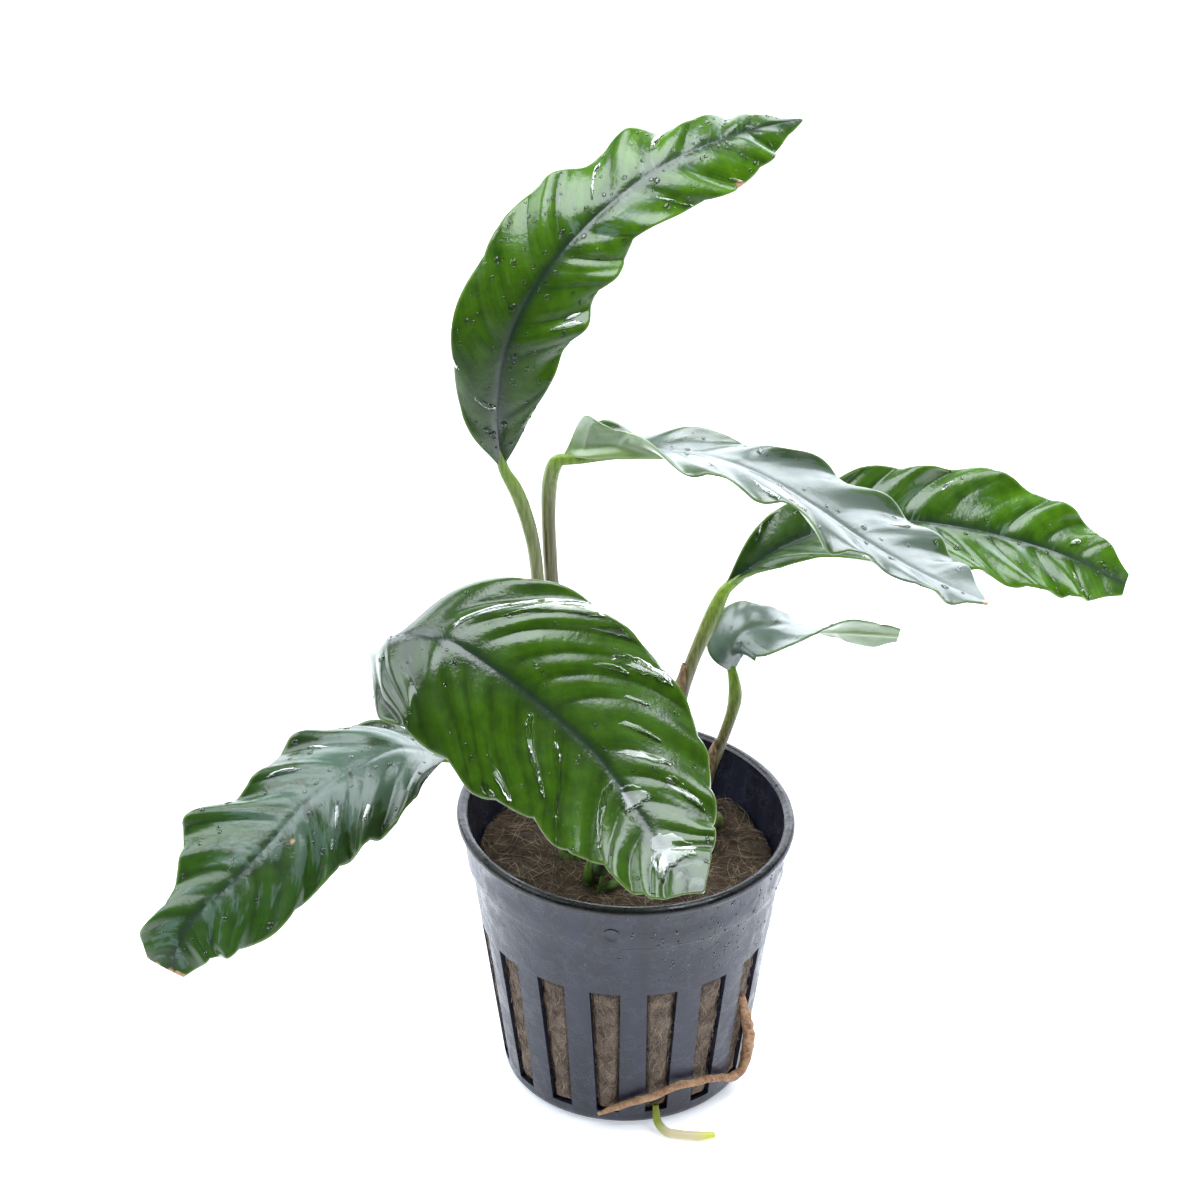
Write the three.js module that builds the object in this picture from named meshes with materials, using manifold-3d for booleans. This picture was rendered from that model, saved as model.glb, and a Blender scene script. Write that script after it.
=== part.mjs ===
// Anubias coffeefolia in its net pot: a tapered pot with sixteen slots, a plug of rock wool, a creeping
// rhizome, six ruffled leaves on their stalks, and two roots that have grown out through the slots.
// Millimetres, +Z up. The origin is the middle of the pot's flat underside, and the front faces -Y.
import * as THREE from 'three';
import { mergeVertices } from 'three/addons/utils/BufferGeometryUtils.js';
import Module from 'manifold-3d';

const wasm = await Module();
wasm.setup();

// Driving dimensions of the pot
const POT_HEIGHT = 49;
const RIM_RADIUS = 27.5;
const BEAD_RADIUS = 0.95;
const COLLAR_BOTTOM_Z = 40;
const COLLAR_BOTTOM_RADIUS = 25.9;
const COLLAR_TOP_RADIUS = 26.5;
const WALL_TOP_RADIUS = 25.3;
const WALL_BOTTOM_RADIUS = 20.2;
const WALL_BOTTOM_Z = 2.2;
const WALL = 0.9;
const FLOOR = 1.2;
const POT_SEGMENTS = 40;
const RIM_TILT = 0.0008;

// Slots in the wall and drain slots in the floor
const SLOT_COUNT = 16;
const SLOT_BOTTOM_Z = 3;
const SLOT_TOP_Z = 29.5;
const BAR_WIDTH = 4.3;
const SLOT_PHASE = THREE.MathUtils.degToRad(-8.3);
const DRAIN_COUNT = 8;
const DRAIN = { inner: 7, outer: 14, width: 2.4 };
const GATE_MARK = { radius: 1.3, depth: 0.4, x: -2.3, z: 42.9 };

// Rock wool, and the gap that neighbouring pieces keep
const WOOL_TOP_Z = 40;
const WOOL_CROWN = 0.7;
const GAP = 0.3;

// Leaf blades: thickness at the margin, and the midrib that stands proud of the underside
const BLADE_THICKNESS = 0.6;
const LOBE_DEPTH = 0.7;
const MIDRIB_DEPTH_AT_BASE = 1.5;
const MIDRIB_DEPTH_AT_TIP = 0.2;
const ROWS_PER_VEIN = 3;
const VEIN_SWEEP = 0.35;
const STALK_SIDES = 8;
const STALK_STEPS = 8;

const COLOURS = {
  pot: 0x3a3d47,
  wool: 0x6b5848,
  leaf: 0x2f6412,
  youngLeaf: 0x6f9a55,
  stalk: 0x7d9a3c,
  rhizome: 0x5f7a35,
  sheath: 0x8a6a4c,
  oldRoot: 0xa5785a,
  newRoot: 0xd2cf85,
};

// Each leaf is a midrib curve with the way its upper side faces, half widths to its left and right as seen
// from the base with the upper side up, and angles in degrees by which each half folds up and curls.
// The pillows between the side veins and the ruffles and lobes of the margin are heights in millimetres.
// Every list runs evenly from the base to the tip.
const LEAVES = [
  {
    name: 'tall_leaf',
    rib: [[-19.5, 0, 114], [-20, -2, 126], [-18, -1.5, 138], [-12, 3, 147.5], [-4, 10, 153.5],
      [6, 18, 157.5], [17, 27, 158], [27.5, 36, 156]],
    face: [[0.15, -0.95, 0.15], [0.1, -0.95, 0.25], [-0.1, -0.75, 0.6], [-0.1, -0.55, 0.8]],
    left: [0.3, 4.3, 7, 9, 9.6, 9.8, 9.9, 7.5, 8.3, 5.3, 4.8, 2.4, 0.3],
    right: [0.3, 5, 7.5, 9, 9.8, 8.8, 8.4, 6.5, 7.8, 8.3, 7, 4, 0.3],
    foldLeft: [20, 10, 5, 5],
    foldRight: [20, 10, 5, 5],
    curlLeft: [-20, -30, -30, -30],
    curlRight: [-20, -30, -30, -30],
    veins: 12,
    pillow: [0.2, 0.35, 0.5, 0.6],
    waves: 7,
    ruffle: 0.8,
    lean: 0.6,
    broadBase: 0.01,
    stalk: [[-3, 0, 43], [-9, 2, 62], [-13.2, 2.5, 80], [-14.4, 2, 97], [-16.8, 1, 108], [-19.5, 0, 114]],
    stalkRadius: 1.1,
  },
  {
    name: 'front_leaf',
    rib: [[-40, -13.2, 88], [-35.9, -17, 93.4], [-28.8, -20.5, 95.7], [-20.7, -23, 91.8],
      [-12.7, -25, 85.7], [-4.5, -28, 78.8], [1.6, -33, 72], [6.2, -38.5, 67], [11.7, -43.5, 64.2]],
    face: [[-0.5, -0.15, 0.85], [-0.3, -0.35, 0.9], [-0.05, -0.6, 0.8], [0.1, -0.65, 0.75],
      [0.1, -0.6, 0.8], [0.05, -0.35, 0.95]],
    left: [0.3, 5, 9.5, 14.6, 17.7, 18.3, 18.2, 16.4, 14.4, 11.6, 9.4, 6.5, 0.3],
    right: [0.3, 12, 15.1, 15.8, 16.2, 17.2, 15.2, 14.3, 13.5, 10.3, 8.2, 6.2, 0.3],
    foldLeft: [-60, -8, 5, 3, 0, 0, 0],
    foldRight: [-10, 0, 0, 0, 0],
    curlLeft: [-20, -16, -10, 0],
    curlRight: [-20, -12, -4, 0],
    veins: 15,
    pillow: [0.5, 0.35, 0.2, 0.3, 0.5],
    waves: 8,
    ruffle: 0.5,
    lean: 0.6,
    broadBase: 0.3,
    stalk: [[-6, -1, 43], [-14, -8, 58], [-26, -12, 72], [-35, -11, 82], [-39, -12.8, 87.2]],
    stalkRadius: 1.2,
  },
  {
    name: 'long_leaf',
    rib: [[-10, 2, 114.5], [-1, -1, 117.5], [9, -4, 119], [19, -7, 117.5], [28.5, -9, 112.5],
      [37, -11, 107], [46.5, -13, 102], [55.7, -15, 98.4]],
    face: [[-0.1, 0.1, 1], [0, 0, 1], [0.15, -0.1, 1], [0.3, -0.1, 0.95], [0.3, -0.1, 0.95]],
    left: [0.3, 5.3, 4.2, 6.4, 7.7, 7.4, 11.4, 11.4, 13.4, 12, 9.4, 6.5, 0.3],
    right: [0.3, 6.5, 3.6, 6.7, 6.9, 6.9, 5.6, 7.8, 6, 4.5, 5.3, 3.7, 0.3],
    foldLeft: [60, 20, -8, -8, -2, 0, 0, 0],
    foldRight: [115, 80, 20, 8, 15, 10, 18, 12, 10],
    curlLeft: [0, 0, 20, 0, 0, 0],
    curlRight: [0, 0, -10, -10],
    veins: 10,
    pillow: [0.12, 0.12],
    waves: 6,
    ruffle: 1,
    lean: 0.6,
    broadBase: 0.3,
    stalk: [[-1, 3.2, 43], [-7, 5, 62], [-11, 4.5, 80], [-12.2, 4, 98], [-12.2, 3.5, 108],
      [-11.3, 2.5, 113], [-10, 2, 114.5]],
    stalkRadius: 1.2,
  },
  {
    name: 'right_leaf',
    rib: [[16, 10, 86], [24, 15, 89.5], [34, 19, 91.5], [44, 22.5, 90.5], [54, 25.5, 87.5],
      [64, 27, 84], [73, 28, 80], [82, 27, 75.5]],
    face: [[-0.2, -0.3, 0.9], [0, -0.3, 0.95], [0, -0.3, 0.95], [0.2, -0.4, 0.85]],
    left: [0.3, 4.1, 5.9, 7, 9.2, 9.4, 9.6, 11.5, 9.4, 9, 7.2, 5.2, 2],
    right: [0.3, 3.5, 8, 12.5, 12.3, 12, 11, 9.5, 10.1, 8.8, 8, 6, 2.4],
    foldLeft: [50, 30, 25, 15],
    foldRight: [30, 10, 5, 5],
    curlLeft: [0, 0, -10, -10],
    curlRight: [0, 0, -10, -10],
    veins: 9,
    pillow: [0.2, 0.5, 0.6],
    waves: 6,
    ruffle: 0.8,
    lean: 0.6,
    broadBase: 0.01,
    stalk: [[4.5, 2.8, 43], [7, 6, 58], [10, 7.5, 71], [13.5, 9, 80], [16, 10, 86]],
    stalkRadius: 1.2,
  },
  {
    name: 'young_leaf',
    rib: [[17.4, 13, 67.5], [17, 13, 72], [19.5, 13.5, 75], [25, 14.5, 75.5], [32, 16, 74],
      [38, 16.5, 73], [44.4, 17, 72]],
    face: [[0.5, -0.85, 0.1], [-0.1, -0.55, 0.85], [0, -0.35, 0.95], [0, 0.35, 0.95], [0, 0.85, 0.45],
      [0, 0.95, 0.2]],
    left: [0.3, 4.6, 5.9, 5, 4.5, 4, 3.5, 1.5],
    right: [0.3, 4.4, 5.7, 6, 5, 4, 3, 1.5],
    foldLeft: [0, 0],
    foldRight: [0, 0],
    curlLeft: [0, 0],
    curlRight: [0, 0],
    veins: 7,
    pillow: [0.08, 0.08],
    waves: 3,
    ruffle: 0.3,
    lean: 0.4,
    broadBase: 0.01,
    stalk: [[12, 6.6, 43], [13.4, 8, 50.5], [16.1, 10, 57.3], [17.8, 12, 62.7], [17.4, 13, 67.5]],
    stalkRadius: 1.05,
  },
  {
    name: 'low_leaf',
    rib: [[-28.8, -5, 63], [-36.5, -8, 66.5], [-44, -11.5, 64.5], [-50.5, -15, 61], [-56, -19, 56.5],
      [-62, -22.7, 51.5], [-69.6, -26.3, 45], [-72.3, -28.3, 37.8]],
    face: [[-0.1, -0.1, 1], [-0.1, -0.2, 1], [-0.1, -0.5, 0.9], [-0.2, -0.7, 0.7], [-0.3, -0.8, 0.6]],
    left: [0.3, 10, 12.6, 12.9, 11.8, 11.6, 10.6, 10.7, 10.4, 9.2, 7.6, 5.4, 2.4],
    right: [0.3, 8, 10.8, 12.5, 11.5, 10.1, 10.5, 13.6, 12.2, 7.5, 5.7, 6.8, 4.8],
    foldLeft: [0, 0],
    foldRight: [0, 0],
    curlLeft: [-10, -20, -20, -10],
    curlRight: [-10, -10, -10, -10],
    veins: 14,
    pillow: [0.3, 0.2, 0.12],
    waves: 6,
    ruffle: 0.9,
    lean: 0.6,
    broadBase: 0.01,
    stalk: [[-9, -1.5, 42.6], [-17, -1, 52.5], [-24, -1, 59.5], [-28.8, -5, 63]],
    stalkRadius: 1.1,
  },
];

// Papery sheaths that wrap the outer side of two stalks
const SHEATHS = [
  {
    name: 'right_leaf_sheath',
    rib: [[3.4, 3, 49], [4.8, 4.6, 57], [7, 6, 66.5], [8.3, 7.1, 71.5], [9.6, 8.2, 75.5]],
    face: [[0.9, 0.4, -0.2], [0.9, 0.35, -0.3]],
    width: [1.4, 1.7, 1.6, 1.2, 0.3],
  },
  {
    name: 'young_leaf_sheath',
    rib: [[10.7, 5.1, 46.4], [11.8, 6, 50.2], [13.2, 7.2, 54], [14.8, 8.6, 57.2]],
    face: [[0.65, 0.7, -0.3], [0.65, 0.6, -0.45]],
    width: [1.3, 1.5, 1.2, 0.3],
  },
];
const SHEATH_THICKNESS = 0.4;
const SHEATH_CURL = 70;

// The creeping rhizome, its small new shoot, and the two roots outside the pot, with radii along each curve
const RHIZOME = {
  path: [[-10.5, -2, 41], [-4, 0, 42], [4, 2.8, 42.6], [12, 6.2, 42.2], [15.5, 7.8, 41.8]],
  radii: [1.7, 2.9, 3, 2.6, 1.4],
  sides: 8,
  steps: 10,
};
const SHOOT = {
  path: [[-4.6, -6, 43], [-4.2, -8.5, 43.6], [-3.8, -11, 45.8], [-3.6, -12.4, 48.6]],
  radii: [1.1, 1.3, 1, 0.25],
  sides: 6,
  steps: 5,
};
const OLD_ROOT = {
  path: [[18.9, -11.8, 20.5], [19.8, -11, 15.5], [20.3, -10.7, 11], [20.1, -9.7, 7.4], [19.2, -10.7, 4.5],
    [17.4, -13, 4.6], [15.7, -15.1, 6.2], [13.2, -17.7, 7.8], [10.6, -19.5, 8.4], [8.4, -20.6, 8.8],
    [4.9, -21.5, 7.5], [1.2, -21.7, 6.3], [-2.3, -21.4, 4.6], [-4.5, -20.8, 3.1]],
  radii: [0.6, 0.9, 1, 0.95, 0.8, 0.7, 0.6, 0.6, 0.6, 0.65, 0.6, 0.6, 0.55, 0.3],
  sides: 6,
  steps: 26,
};
const NEW_ROOT = {
  path: [[4.9, -20.3, 4.6], [5.2, -21.5, 2.2], [6.6, -22.7, 0.9], [8.8, -23.3, 0.8], [11.8, -23.7, 0.8],
    [14.6, -23.4, 0.8]],
  radii: [0.5, 0.65, 0.75, 0.75, 0.75, 0.45],
  sides: 7,
  steps: 10,
};

const toVector = ([x, y, z]) => new THREE.Vector3(x, y, z);
const smoothCurve = (points) => new THREE.CatmullRomCurve3(points.map(toVector), false, 'catmullrom', 0.5);
const valueCurve = (values) => {
  const curve = smoothCurve(values.map((value) => [value, 0, 0]));
  return (t) => curve.getPoint(t).x;
};
const fade = (x) => THREE.MathUtils.smoothstep(x, 0, 1);

function closedGeometry(points, triangles) {
  const geometry = new THREE.BufferGeometry();
  geometry.setAttribute('position', new THREE.Float32BufferAttribute(points.flat(), 3));
  geometry.setIndex(triangles.flat());
  return geometry;
}

function toSolid(geometry) {
  const bare = geometry.clone();
  bare.deleteAttribute('normal');
  bare.deleteAttribute('uv');
  const merged = mergeVertices(bare, 1e-4);
  return new wasm.Manifold(new wasm.Mesh({
    numProp: 3,
    vertProperties: new Float32Array(merged.attributes.position.array),
    triVerts: new Uint32Array(merged.index.array),
  }));
}

function fromSolid(solid) {
  const mesh = solid.getMesh();
  const geometry = new THREE.BufferGeometry();
  geometry.setAttribute('position', new THREE.BufferAttribute(new Float32Array(mesh.vertProperties), 3));
  geometry.setIndex(new THREE.BufferAttribute(new Uint32Array(mesh.triVerts), 1));
  return geometry;
}

// A round, tapering rod: rings of corners along a smooth curve, closed with a flat cap at both ends.
function taperedRod({ path, radii }, sides, steps, extra = 0) {
  const curve = smoothCurve(path);
  const radiusAt = valueCurve(radii);
  const frames = curve.computeFrenetFrames(steps, false);
  const points = [];
  const triangles = [];
  for (let step = 0; step <= steps; step += 1) {
    const t = step / steps;
    const centre = curve.getPointAt(t);
    const radius = radiusAt(curve.getUtoTmapping(t)) + extra;
    for (let side = 0; side < sides; side += 1) {
      const angle = (2 * Math.PI * side) / sides;
      const corner = centre.clone()
        .addScaledVector(frames.normals[step], radius * Math.cos(angle))
        .addScaledVector(frames.binormals[step], radius * Math.sin(angle));
      points.push(corner.toArray());
    }
  }
  for (let step = 0; step < steps; step += 1) {
    for (let side = 0; side < sides; side += 1) {
      const a = step * sides + side;
      const b = step * sides + ((side + 1) % sides);
      triangles.push([a, b, b + sides], [a, b + sides, a + sides]);
    }
  }
  const last = steps * sides;
  for (let side = 1; side < sides - 1; side += 1) {
    triangles.push([0, side + 1, side], [last, last + side, last + side + 1]);
  }
  return closedGeometry(points, triangles);
}

// Rows of rounded bumps with a sharp valley between one and the next, as high above zero as below it.
const lobes = (turns) => Math.abs(Math.sin(Math.PI * turns)) ** 0.7 - 0.73;
const pillows = (turns) => Math.abs(Math.sin(Math.PI * turns)) ** 1.1 - 0.6;

// A point of a leaf's middle surface: s runs from the base to the tip, u from -1 on the right margin to 1 on
// the left one. Rows of points follow the side veins, which sweep towards the tip. The lobes and ruffles
// come round later on one half than on the other.
function bladeSurface(leaf) {
  const ribCurve = smoothCurve(leaf.rib);
  const faceCurve = smoothCurve(leaf.face);
  const pillowAt = valueCurve(leaf.pillow);
  const length = ribCurve.getLength();
  const halves = [
    { width: leaf.right, fold: leaf.foldRight, curl: leaf.curlRight, veinOffset: 1 / 3, waveOffset: 0.4 },
    { width: leaf.left, fold: leaf.foldLeft, curl: leaf.curlLeft, veinOffset: 0, waveOffset: 0 },
  ].map((half) => ({
    ...half,
    width: valueCurve(half.width),
    fold: valueCurve(half.fold),
    curl: valueCurve(half.curl),
  }));
  const wavePhase = (half, s, out, width) => (
    leaf.waves * (s - (leaf.lean * width * out ** 1.7) / length) + half.waveOffset
  );
  const halfWidth = (half, s) => {
    const smooth = half.width(s);
    const lobe = LOBE_DEPTH * lobes(wavePhase(half, s, 1, smooth)) * fade(s / 0.15) * fade((1 - s) / 0.1);
    return Math.max(0.2, smooth + lobe);
  };
  return (s, u) => {
    const half = halves[u < 0 ? 0 : 1];
    const out = Math.abs(u);
    const width = halfWidth(half, s);
    const sweep = VEIN_SWEEP * fade(s / leaf.broadBase) * Math.min(1, (1 - s) / 0.15);
    const t = Math.min(1, s + (sweep * width * out ** 1.5) / length);
    const along = ribCurve.getTangent(t);
    const left = faceCurve.getPoint(t).cross(along).normalize();
    const up = along.clone().cross(left);
    const fold = THREE.MathUtils.degToRad(half.fold(s));
    const curl = THREE.MathUtils.degToRad(half.curl(s) * out);
    const ends = fade(s / 0.12) * fade((1 - s) / 0.15);
    const pillow = pillows(leaf.veins * s + half.veinOffset) * pillowAt(s) * fade(out / 0.35);
    const wave = leaf.ruffle * Math.sin(2 * Math.PI * wavePhase(half, s, out, width)) * out ** 2;
    const rise = (pillow + wave) * ends;
    const sideways = out * width * Math.cos(fold + curl / 2) - rise * Math.sin(fold + curl);
    const upwards = out * width * Math.sin(fold + curl / 2) + rise * Math.cos(fold + curl);
    return ribCurve.getPoint(t)
      .addScaledVector(left, Math.sign(u) * sideways)
      .addScaledVector(up, upwards);
  };
}

// A closed sheet: an upper and a lower copy of the surface, joined around the edge.
function sheet(surface, rows, columns, thicknessBelow, thicknessAbove) {
  const count = columns.length;
  const step = 0.004;
  const upper = [];
  const lower = [];
  for (let row = 0; row <= rows; row += 1) {
    const s = row / rows;
    for (const u of columns) {
      const s0 = Math.max(0, s - step);
      const s1 = Math.min(1, s + step);
      const u0 = Math.max(-1, u - step);
      const u1 = Math.min(1, u + step);
      const along = surface(s1, u).sub(surface(s0, u));
      const across = surface(s, u1).sub(surface(s, u0));
      const normal = along.cross(across).normalize();
      const middle = surface(s, u);
      upper.push(middle.clone().addScaledVector(normal, thicknessAbove).toArray());
      lower.push(middle.clone().addScaledVector(normal, -thicknessBelow(s, u)).toArray());
    }
  }
  const offset = upper.length;
  const triangles = [];
  for (let row = 0; row < rows; row += 1) {
    for (let column = 0; column < count - 1; column += 1) {
      const a = row * count + column;
      const b = a + 1;
      const c = a + count;
      const d = c + 1;
      triangles.push([a, c, d], [a, d, b]);
      triangles.push([offset + a, offset + d, offset + c], [offset + a, offset + b, offset + d]);
    }
  }
  const edge = [];
  for (let column = 0; column < count - 1; column += 1) edge.push(column);
  for (let row = 0; row < rows; row += 1) edge.push(row * count + count - 1);
  for (let column = count - 1; column > 0; column -= 1) edge.push(rows * count + column);
  for (let row = rows; row > 0; row -= 1) edge.push(row * count);
  edge.forEach((a, index) => {
    const b = edge[(index + 1) % edge.length];
    triangles.push([a, b, offset + b], [a, offset + b, offset + a]);
  });
  return closedGeometry([...upper, ...lower], triangles);
}

function leafBlade(leaf) {
  const columns = [-1, -0.6, -0.2, 0, 0.2, 0.6, 1];
  const below = (s, u) => {
    const rib = fade(s / 0.08) * THREE.MathUtils.lerp(MIDRIB_DEPTH_AT_BASE, MIDRIB_DEPTH_AT_TIP, s);
    return BLADE_THICKNESS / 2 + (u === 0 ? rib : 0);
  };
  return sheet(bladeSurface(leaf), leaf.veins * ROWS_PER_VEIN, columns, below, BLADE_THICKNESS / 2);
}

function sheath({ rib, face, width }) {
  const flat = [0, 0];
  const curl = [SHEATH_CURL, SHEATH_CURL];
  const surface = bladeSurface({
    rib,
    face,
    left: width,
    right: width,
    foldLeft: flat,
    foldRight: flat,
    curlLeft: curl,
    curlRight: curl,
    veins: 1,
    pillow: flat,
    waves: 0,
    ruffle: 0,
    lean: 0,
    broadBase: 0.01,
  });
  return sheet(surface, 8, [-1, -0.5, 0, 0.5, 1], () => SHEATH_THICKNESS / 2, SHEATH_THICKNESS / 2);
}

// A stalk starts inside the rhizome, where it is cut back, and stops a little short of the blade's base.
function leafStalk(leaf, rhizomeRoom) {
  const end = smoothCurve(leaf.rib).getTangent(0);
  const tip = toVector(leaf.stalk.at(-1)).addScaledVector(end, -(GAP + BLADE_THICKNESS));
  const path = [...leaf.stalk.slice(0, -1), tip.toArray()];
  const radii = [1.25, 1, 0.95, 0.95, 1.1, 0.75].map((share) => share * leaf.stalkRadius);
  const rod = taperedRod({ path, radii }, STALK_SIDES, STALK_STEPS);
  return fromSolid(toSolid(rod).subtract(rhizomeRoom));
}

const wallRadius = (z) => THREE.MathUtils.mapLinear(
  z,
  WALL_BOTTOM_Z,
  COLLAR_BOTTOM_Z,
  WALL_BOTTOM_RADIUS,
  WALL_TOP_RADIUS,
);

function lathe(profile) {
  const geometry = new THREE.LatheGeometry(profile.map(([r, z]) => new THREE.Vector2(r, z)), POT_SEGMENTS);
  return geometry.rotateX(Math.PI / 2);
}

// The pot's outline: out along the underside, up the outside, over the round bead and down the inside.
function potProfile() {
  const corner = 2.2;
  const flatRadius = WALL_BOTTOM_RADIUS - corner;
  const cornerMiddle = corner * (1 - Math.SQRT1_2);
  const beadCentre = { r: RIM_RADIUS - BEAD_RADIUS, z: POT_HEIGHT - BEAD_RADIUS };
  const bead = [-80, 0, 80, 150].map((degrees) => {
    const angle = THREE.MathUtils.degToRad(degrees);
    return [beadCentre.r + BEAD_RADIUS * Math.cos(angle), beadCentre.z + BEAD_RADIUS * Math.sin(angle)];
  });
  return [
    [0, 0],
    [flatRadius, 0],
    [WALL_BOTTOM_RADIUS - cornerMiddle, cornerMiddle],
    [WALL_BOTTOM_RADIUS, WALL_BOTTOM_Z],
    [WALL_TOP_RADIUS, COLLAR_BOTTOM_Z],
    [COLLAR_BOTTOM_RADIUS, COLLAR_BOTTOM_Z + 0.4],
    [COLLAR_TOP_RADIUS, POT_HEIGHT - 2.4],
    ...bead,
    [COLLAR_TOP_RADIUS - WALL, POT_HEIGHT - 2.4],
    [WALL_TOP_RADIUS - WALL, COLLAR_BOTTOM_Z],
    [wallRadius(FLOOR + 1.7) - WALL, FLOOR + 1.7],
    [flatRadius - 0.4, FLOOR],
    [0, FLOOR],
  ];
}

// A slot leaves bars of one width between it and its neighbours, so it narrows towards the bottom.
function slotCutter(index) {
  const halfWidth = (z) => (Math.PI * wallRadius(z)) / SLOT_COUNT - BAR_WIDTH / 2;
  const bottom = halfWidth(SLOT_BOTTOM_Z);
  const top = halfWidth(SLOT_TOP_Z);
  const shape = new THREE.Shape([
    new THREE.Vector2(-bottom, SLOT_BOTTOM_Z),
    new THREE.Vector2(bottom, SLOT_BOTTOM_Z),
    new THREE.Vector2(top, SLOT_TOP_Z),
    new THREE.Vector2(-top, SLOT_TOP_Z),
  ]);
  const geometry = new THREE.ExtrudeGeometry(shape, { depth: 14, bevelEnabled: false });
  geometry.rotateX(Math.PI / 2);
  geometry.translate(0, -16, 0);
  return geometry.rotateZ(SLOT_PHASE + (2 * Math.PI * index) / SLOT_COUNT);
}

function drainCutter(index) {
  const length = DRAIN.outer - DRAIN.inner;
  const geometry = new THREE.BoxGeometry(DRAIN.width, length, 4 * FLOOR);
  geometry.translate(0, -(DRAIN.inner + length / 2), 0);
  return geometry.rotateZ((2 * Math.PI * (index + 0.5)) / DRAIN_COUNT);
}

function gateMarkCutter() {
  const geometry = new THREE.CylinderGeometry(GATE_MARK.radius, GATE_MARK.radius, 4, 12);
  const surfaceY = -Math.sqrt(COLLAR_BOTTOM_RADIUS ** 2 - GATE_MARK.x ** 2);
  return geometry.translate(GATE_MARK.x, surfaceY - 2 + GATE_MARK.depth, GATE_MARK.z);
}

// The thin pot stands a little out of true: its rim is lower on the right than on the left.
function leanWithPot(geometry) {
  const position = geometry.attributes.position;
  for (let index = 0; index < position.count; index += 1) {
    position.setZ(index, position.getZ(index) * (1 - RIM_TILT * position.getX(index)));
  }
  return geometry;
}

function netPot() {
  let pot = toSolid(lathe(potProfile()));
  for (let index = 0; index < SLOT_COUNT; index += 1) pot = pot.subtract(toSolid(slotCutter(index)));
  for (let index = 0; index < DRAIN_COUNT; index += 1) pot = pot.subtract(toSolid(drainCutter(index)));
  pot = pot.subtract(toSolid(gateMarkCutter()));
  return leanWithPot(fromSolid(pot));
}

// The plug fills the pot up to the bottom of the collar, with a hollow where the rhizome lies in it.
function rockWool(rhizomeRoom) {
  const inner = (z) => wallRadius(z) - WALL - GAP;
  const bottomZ = FLOOR + GAP;
  const geometry = lathe([
    [0, bottomZ],
    [wallRadius(WALL_BOTTOM_Z) - 2.9, bottomZ],
    [inner(FLOOR + 1.9), FLOOR + 1.9],
    [inner(WOOL_TOP_Z - 1), WOOL_TOP_Z - 1],
    [inner(WOOL_TOP_Z) - 1, WOOL_TOP_Z - 0.2],
    [15, WOOL_TOP_Z + WOOL_CROWN / 2],
    [0, WOOL_TOP_Z + WOOL_CROWN],
  ]);
  return fromSolid(toSolid(leanWithPot(geometry)).subtract(rhizomeRoom));
}

function material(colour, roughness) {
  return new THREE.MeshStandardMaterial({ color: colour, roughness, metalness: 0, side: THREE.FrontSide });
}

const plant = new THREE.Group();

function add(name, geometry, colour, roughness) {
  const mesh = new THREE.Mesh(geometry, material(colour, roughness));
  mesh.name = name;
  plant.add(mesh);
}

const rhizomeRoom = toSolid(taperedRod(RHIZOME, RHIZOME.sides, RHIZOME.steps, GAP));

add('net_pot', netPot(), COLOURS.pot, 0.35);
add('rock_wool', rockWool(rhizomeRoom), COLOURS.wool, 0.95);
add('rhizome', taperedRod(RHIZOME, RHIZOME.sides, RHIZOME.steps), COLOURS.rhizome, 0.5);
const shootRod = toSolid(taperedRod(SHOOT, SHOOT.sides, SHOOT.steps));
add('new_shoot', fromSolid(shootRod.subtract(rhizomeRoom)), COLOURS.youngLeaf, 0.4);
for (const leaf of LEAVES) {
  const colour = leaf.name === 'young_leaf' ? COLOURS.youngLeaf : COLOURS.leaf;
  add(`${leaf.name}_blade`, leafBlade(leaf), colour, 0.2);
  add(`${leaf.name}_stalk`, leafStalk(leaf, rhizomeRoom), COLOURS.stalk, 0.35);
}
for (const piece of SHEATHS) add(piece.name, sheath(piece), COLOURS.sheath, 0.7);
add('old_root', taperedRod(OLD_ROOT, OLD_ROOT.sides, OLD_ROOT.steps), COLOURS.oldRoot, 0.8);
add('new_root', taperedRod(NEW_ROOT, NEW_ROOT.sides, NEW_ROOT.steps), COLOURS.newRoot, 0.4);

export default plant;
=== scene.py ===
"""Looks of the potted anubias coffeefolia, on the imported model's frame."""
import math

import bpy
import numpy as np
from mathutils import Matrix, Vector


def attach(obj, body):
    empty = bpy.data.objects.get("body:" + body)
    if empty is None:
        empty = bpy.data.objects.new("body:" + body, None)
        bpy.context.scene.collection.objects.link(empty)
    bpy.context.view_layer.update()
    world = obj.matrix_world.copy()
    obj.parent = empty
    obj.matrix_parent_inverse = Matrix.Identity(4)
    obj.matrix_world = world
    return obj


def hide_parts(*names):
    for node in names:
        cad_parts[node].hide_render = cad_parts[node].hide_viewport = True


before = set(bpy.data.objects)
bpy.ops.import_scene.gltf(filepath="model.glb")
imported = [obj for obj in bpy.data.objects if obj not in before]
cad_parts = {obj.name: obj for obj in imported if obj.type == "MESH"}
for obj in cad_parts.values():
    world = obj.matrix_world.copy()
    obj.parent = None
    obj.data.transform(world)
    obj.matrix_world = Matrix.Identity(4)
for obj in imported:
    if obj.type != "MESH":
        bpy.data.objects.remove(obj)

MM = 0.001

# Camera, at the photograph's angle
CAMERA_PLACE = (-0.0042, -0.6571, 0.5066)
CAMERA_TILT = 57.6
CAMERA_LENS = 147.8

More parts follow.
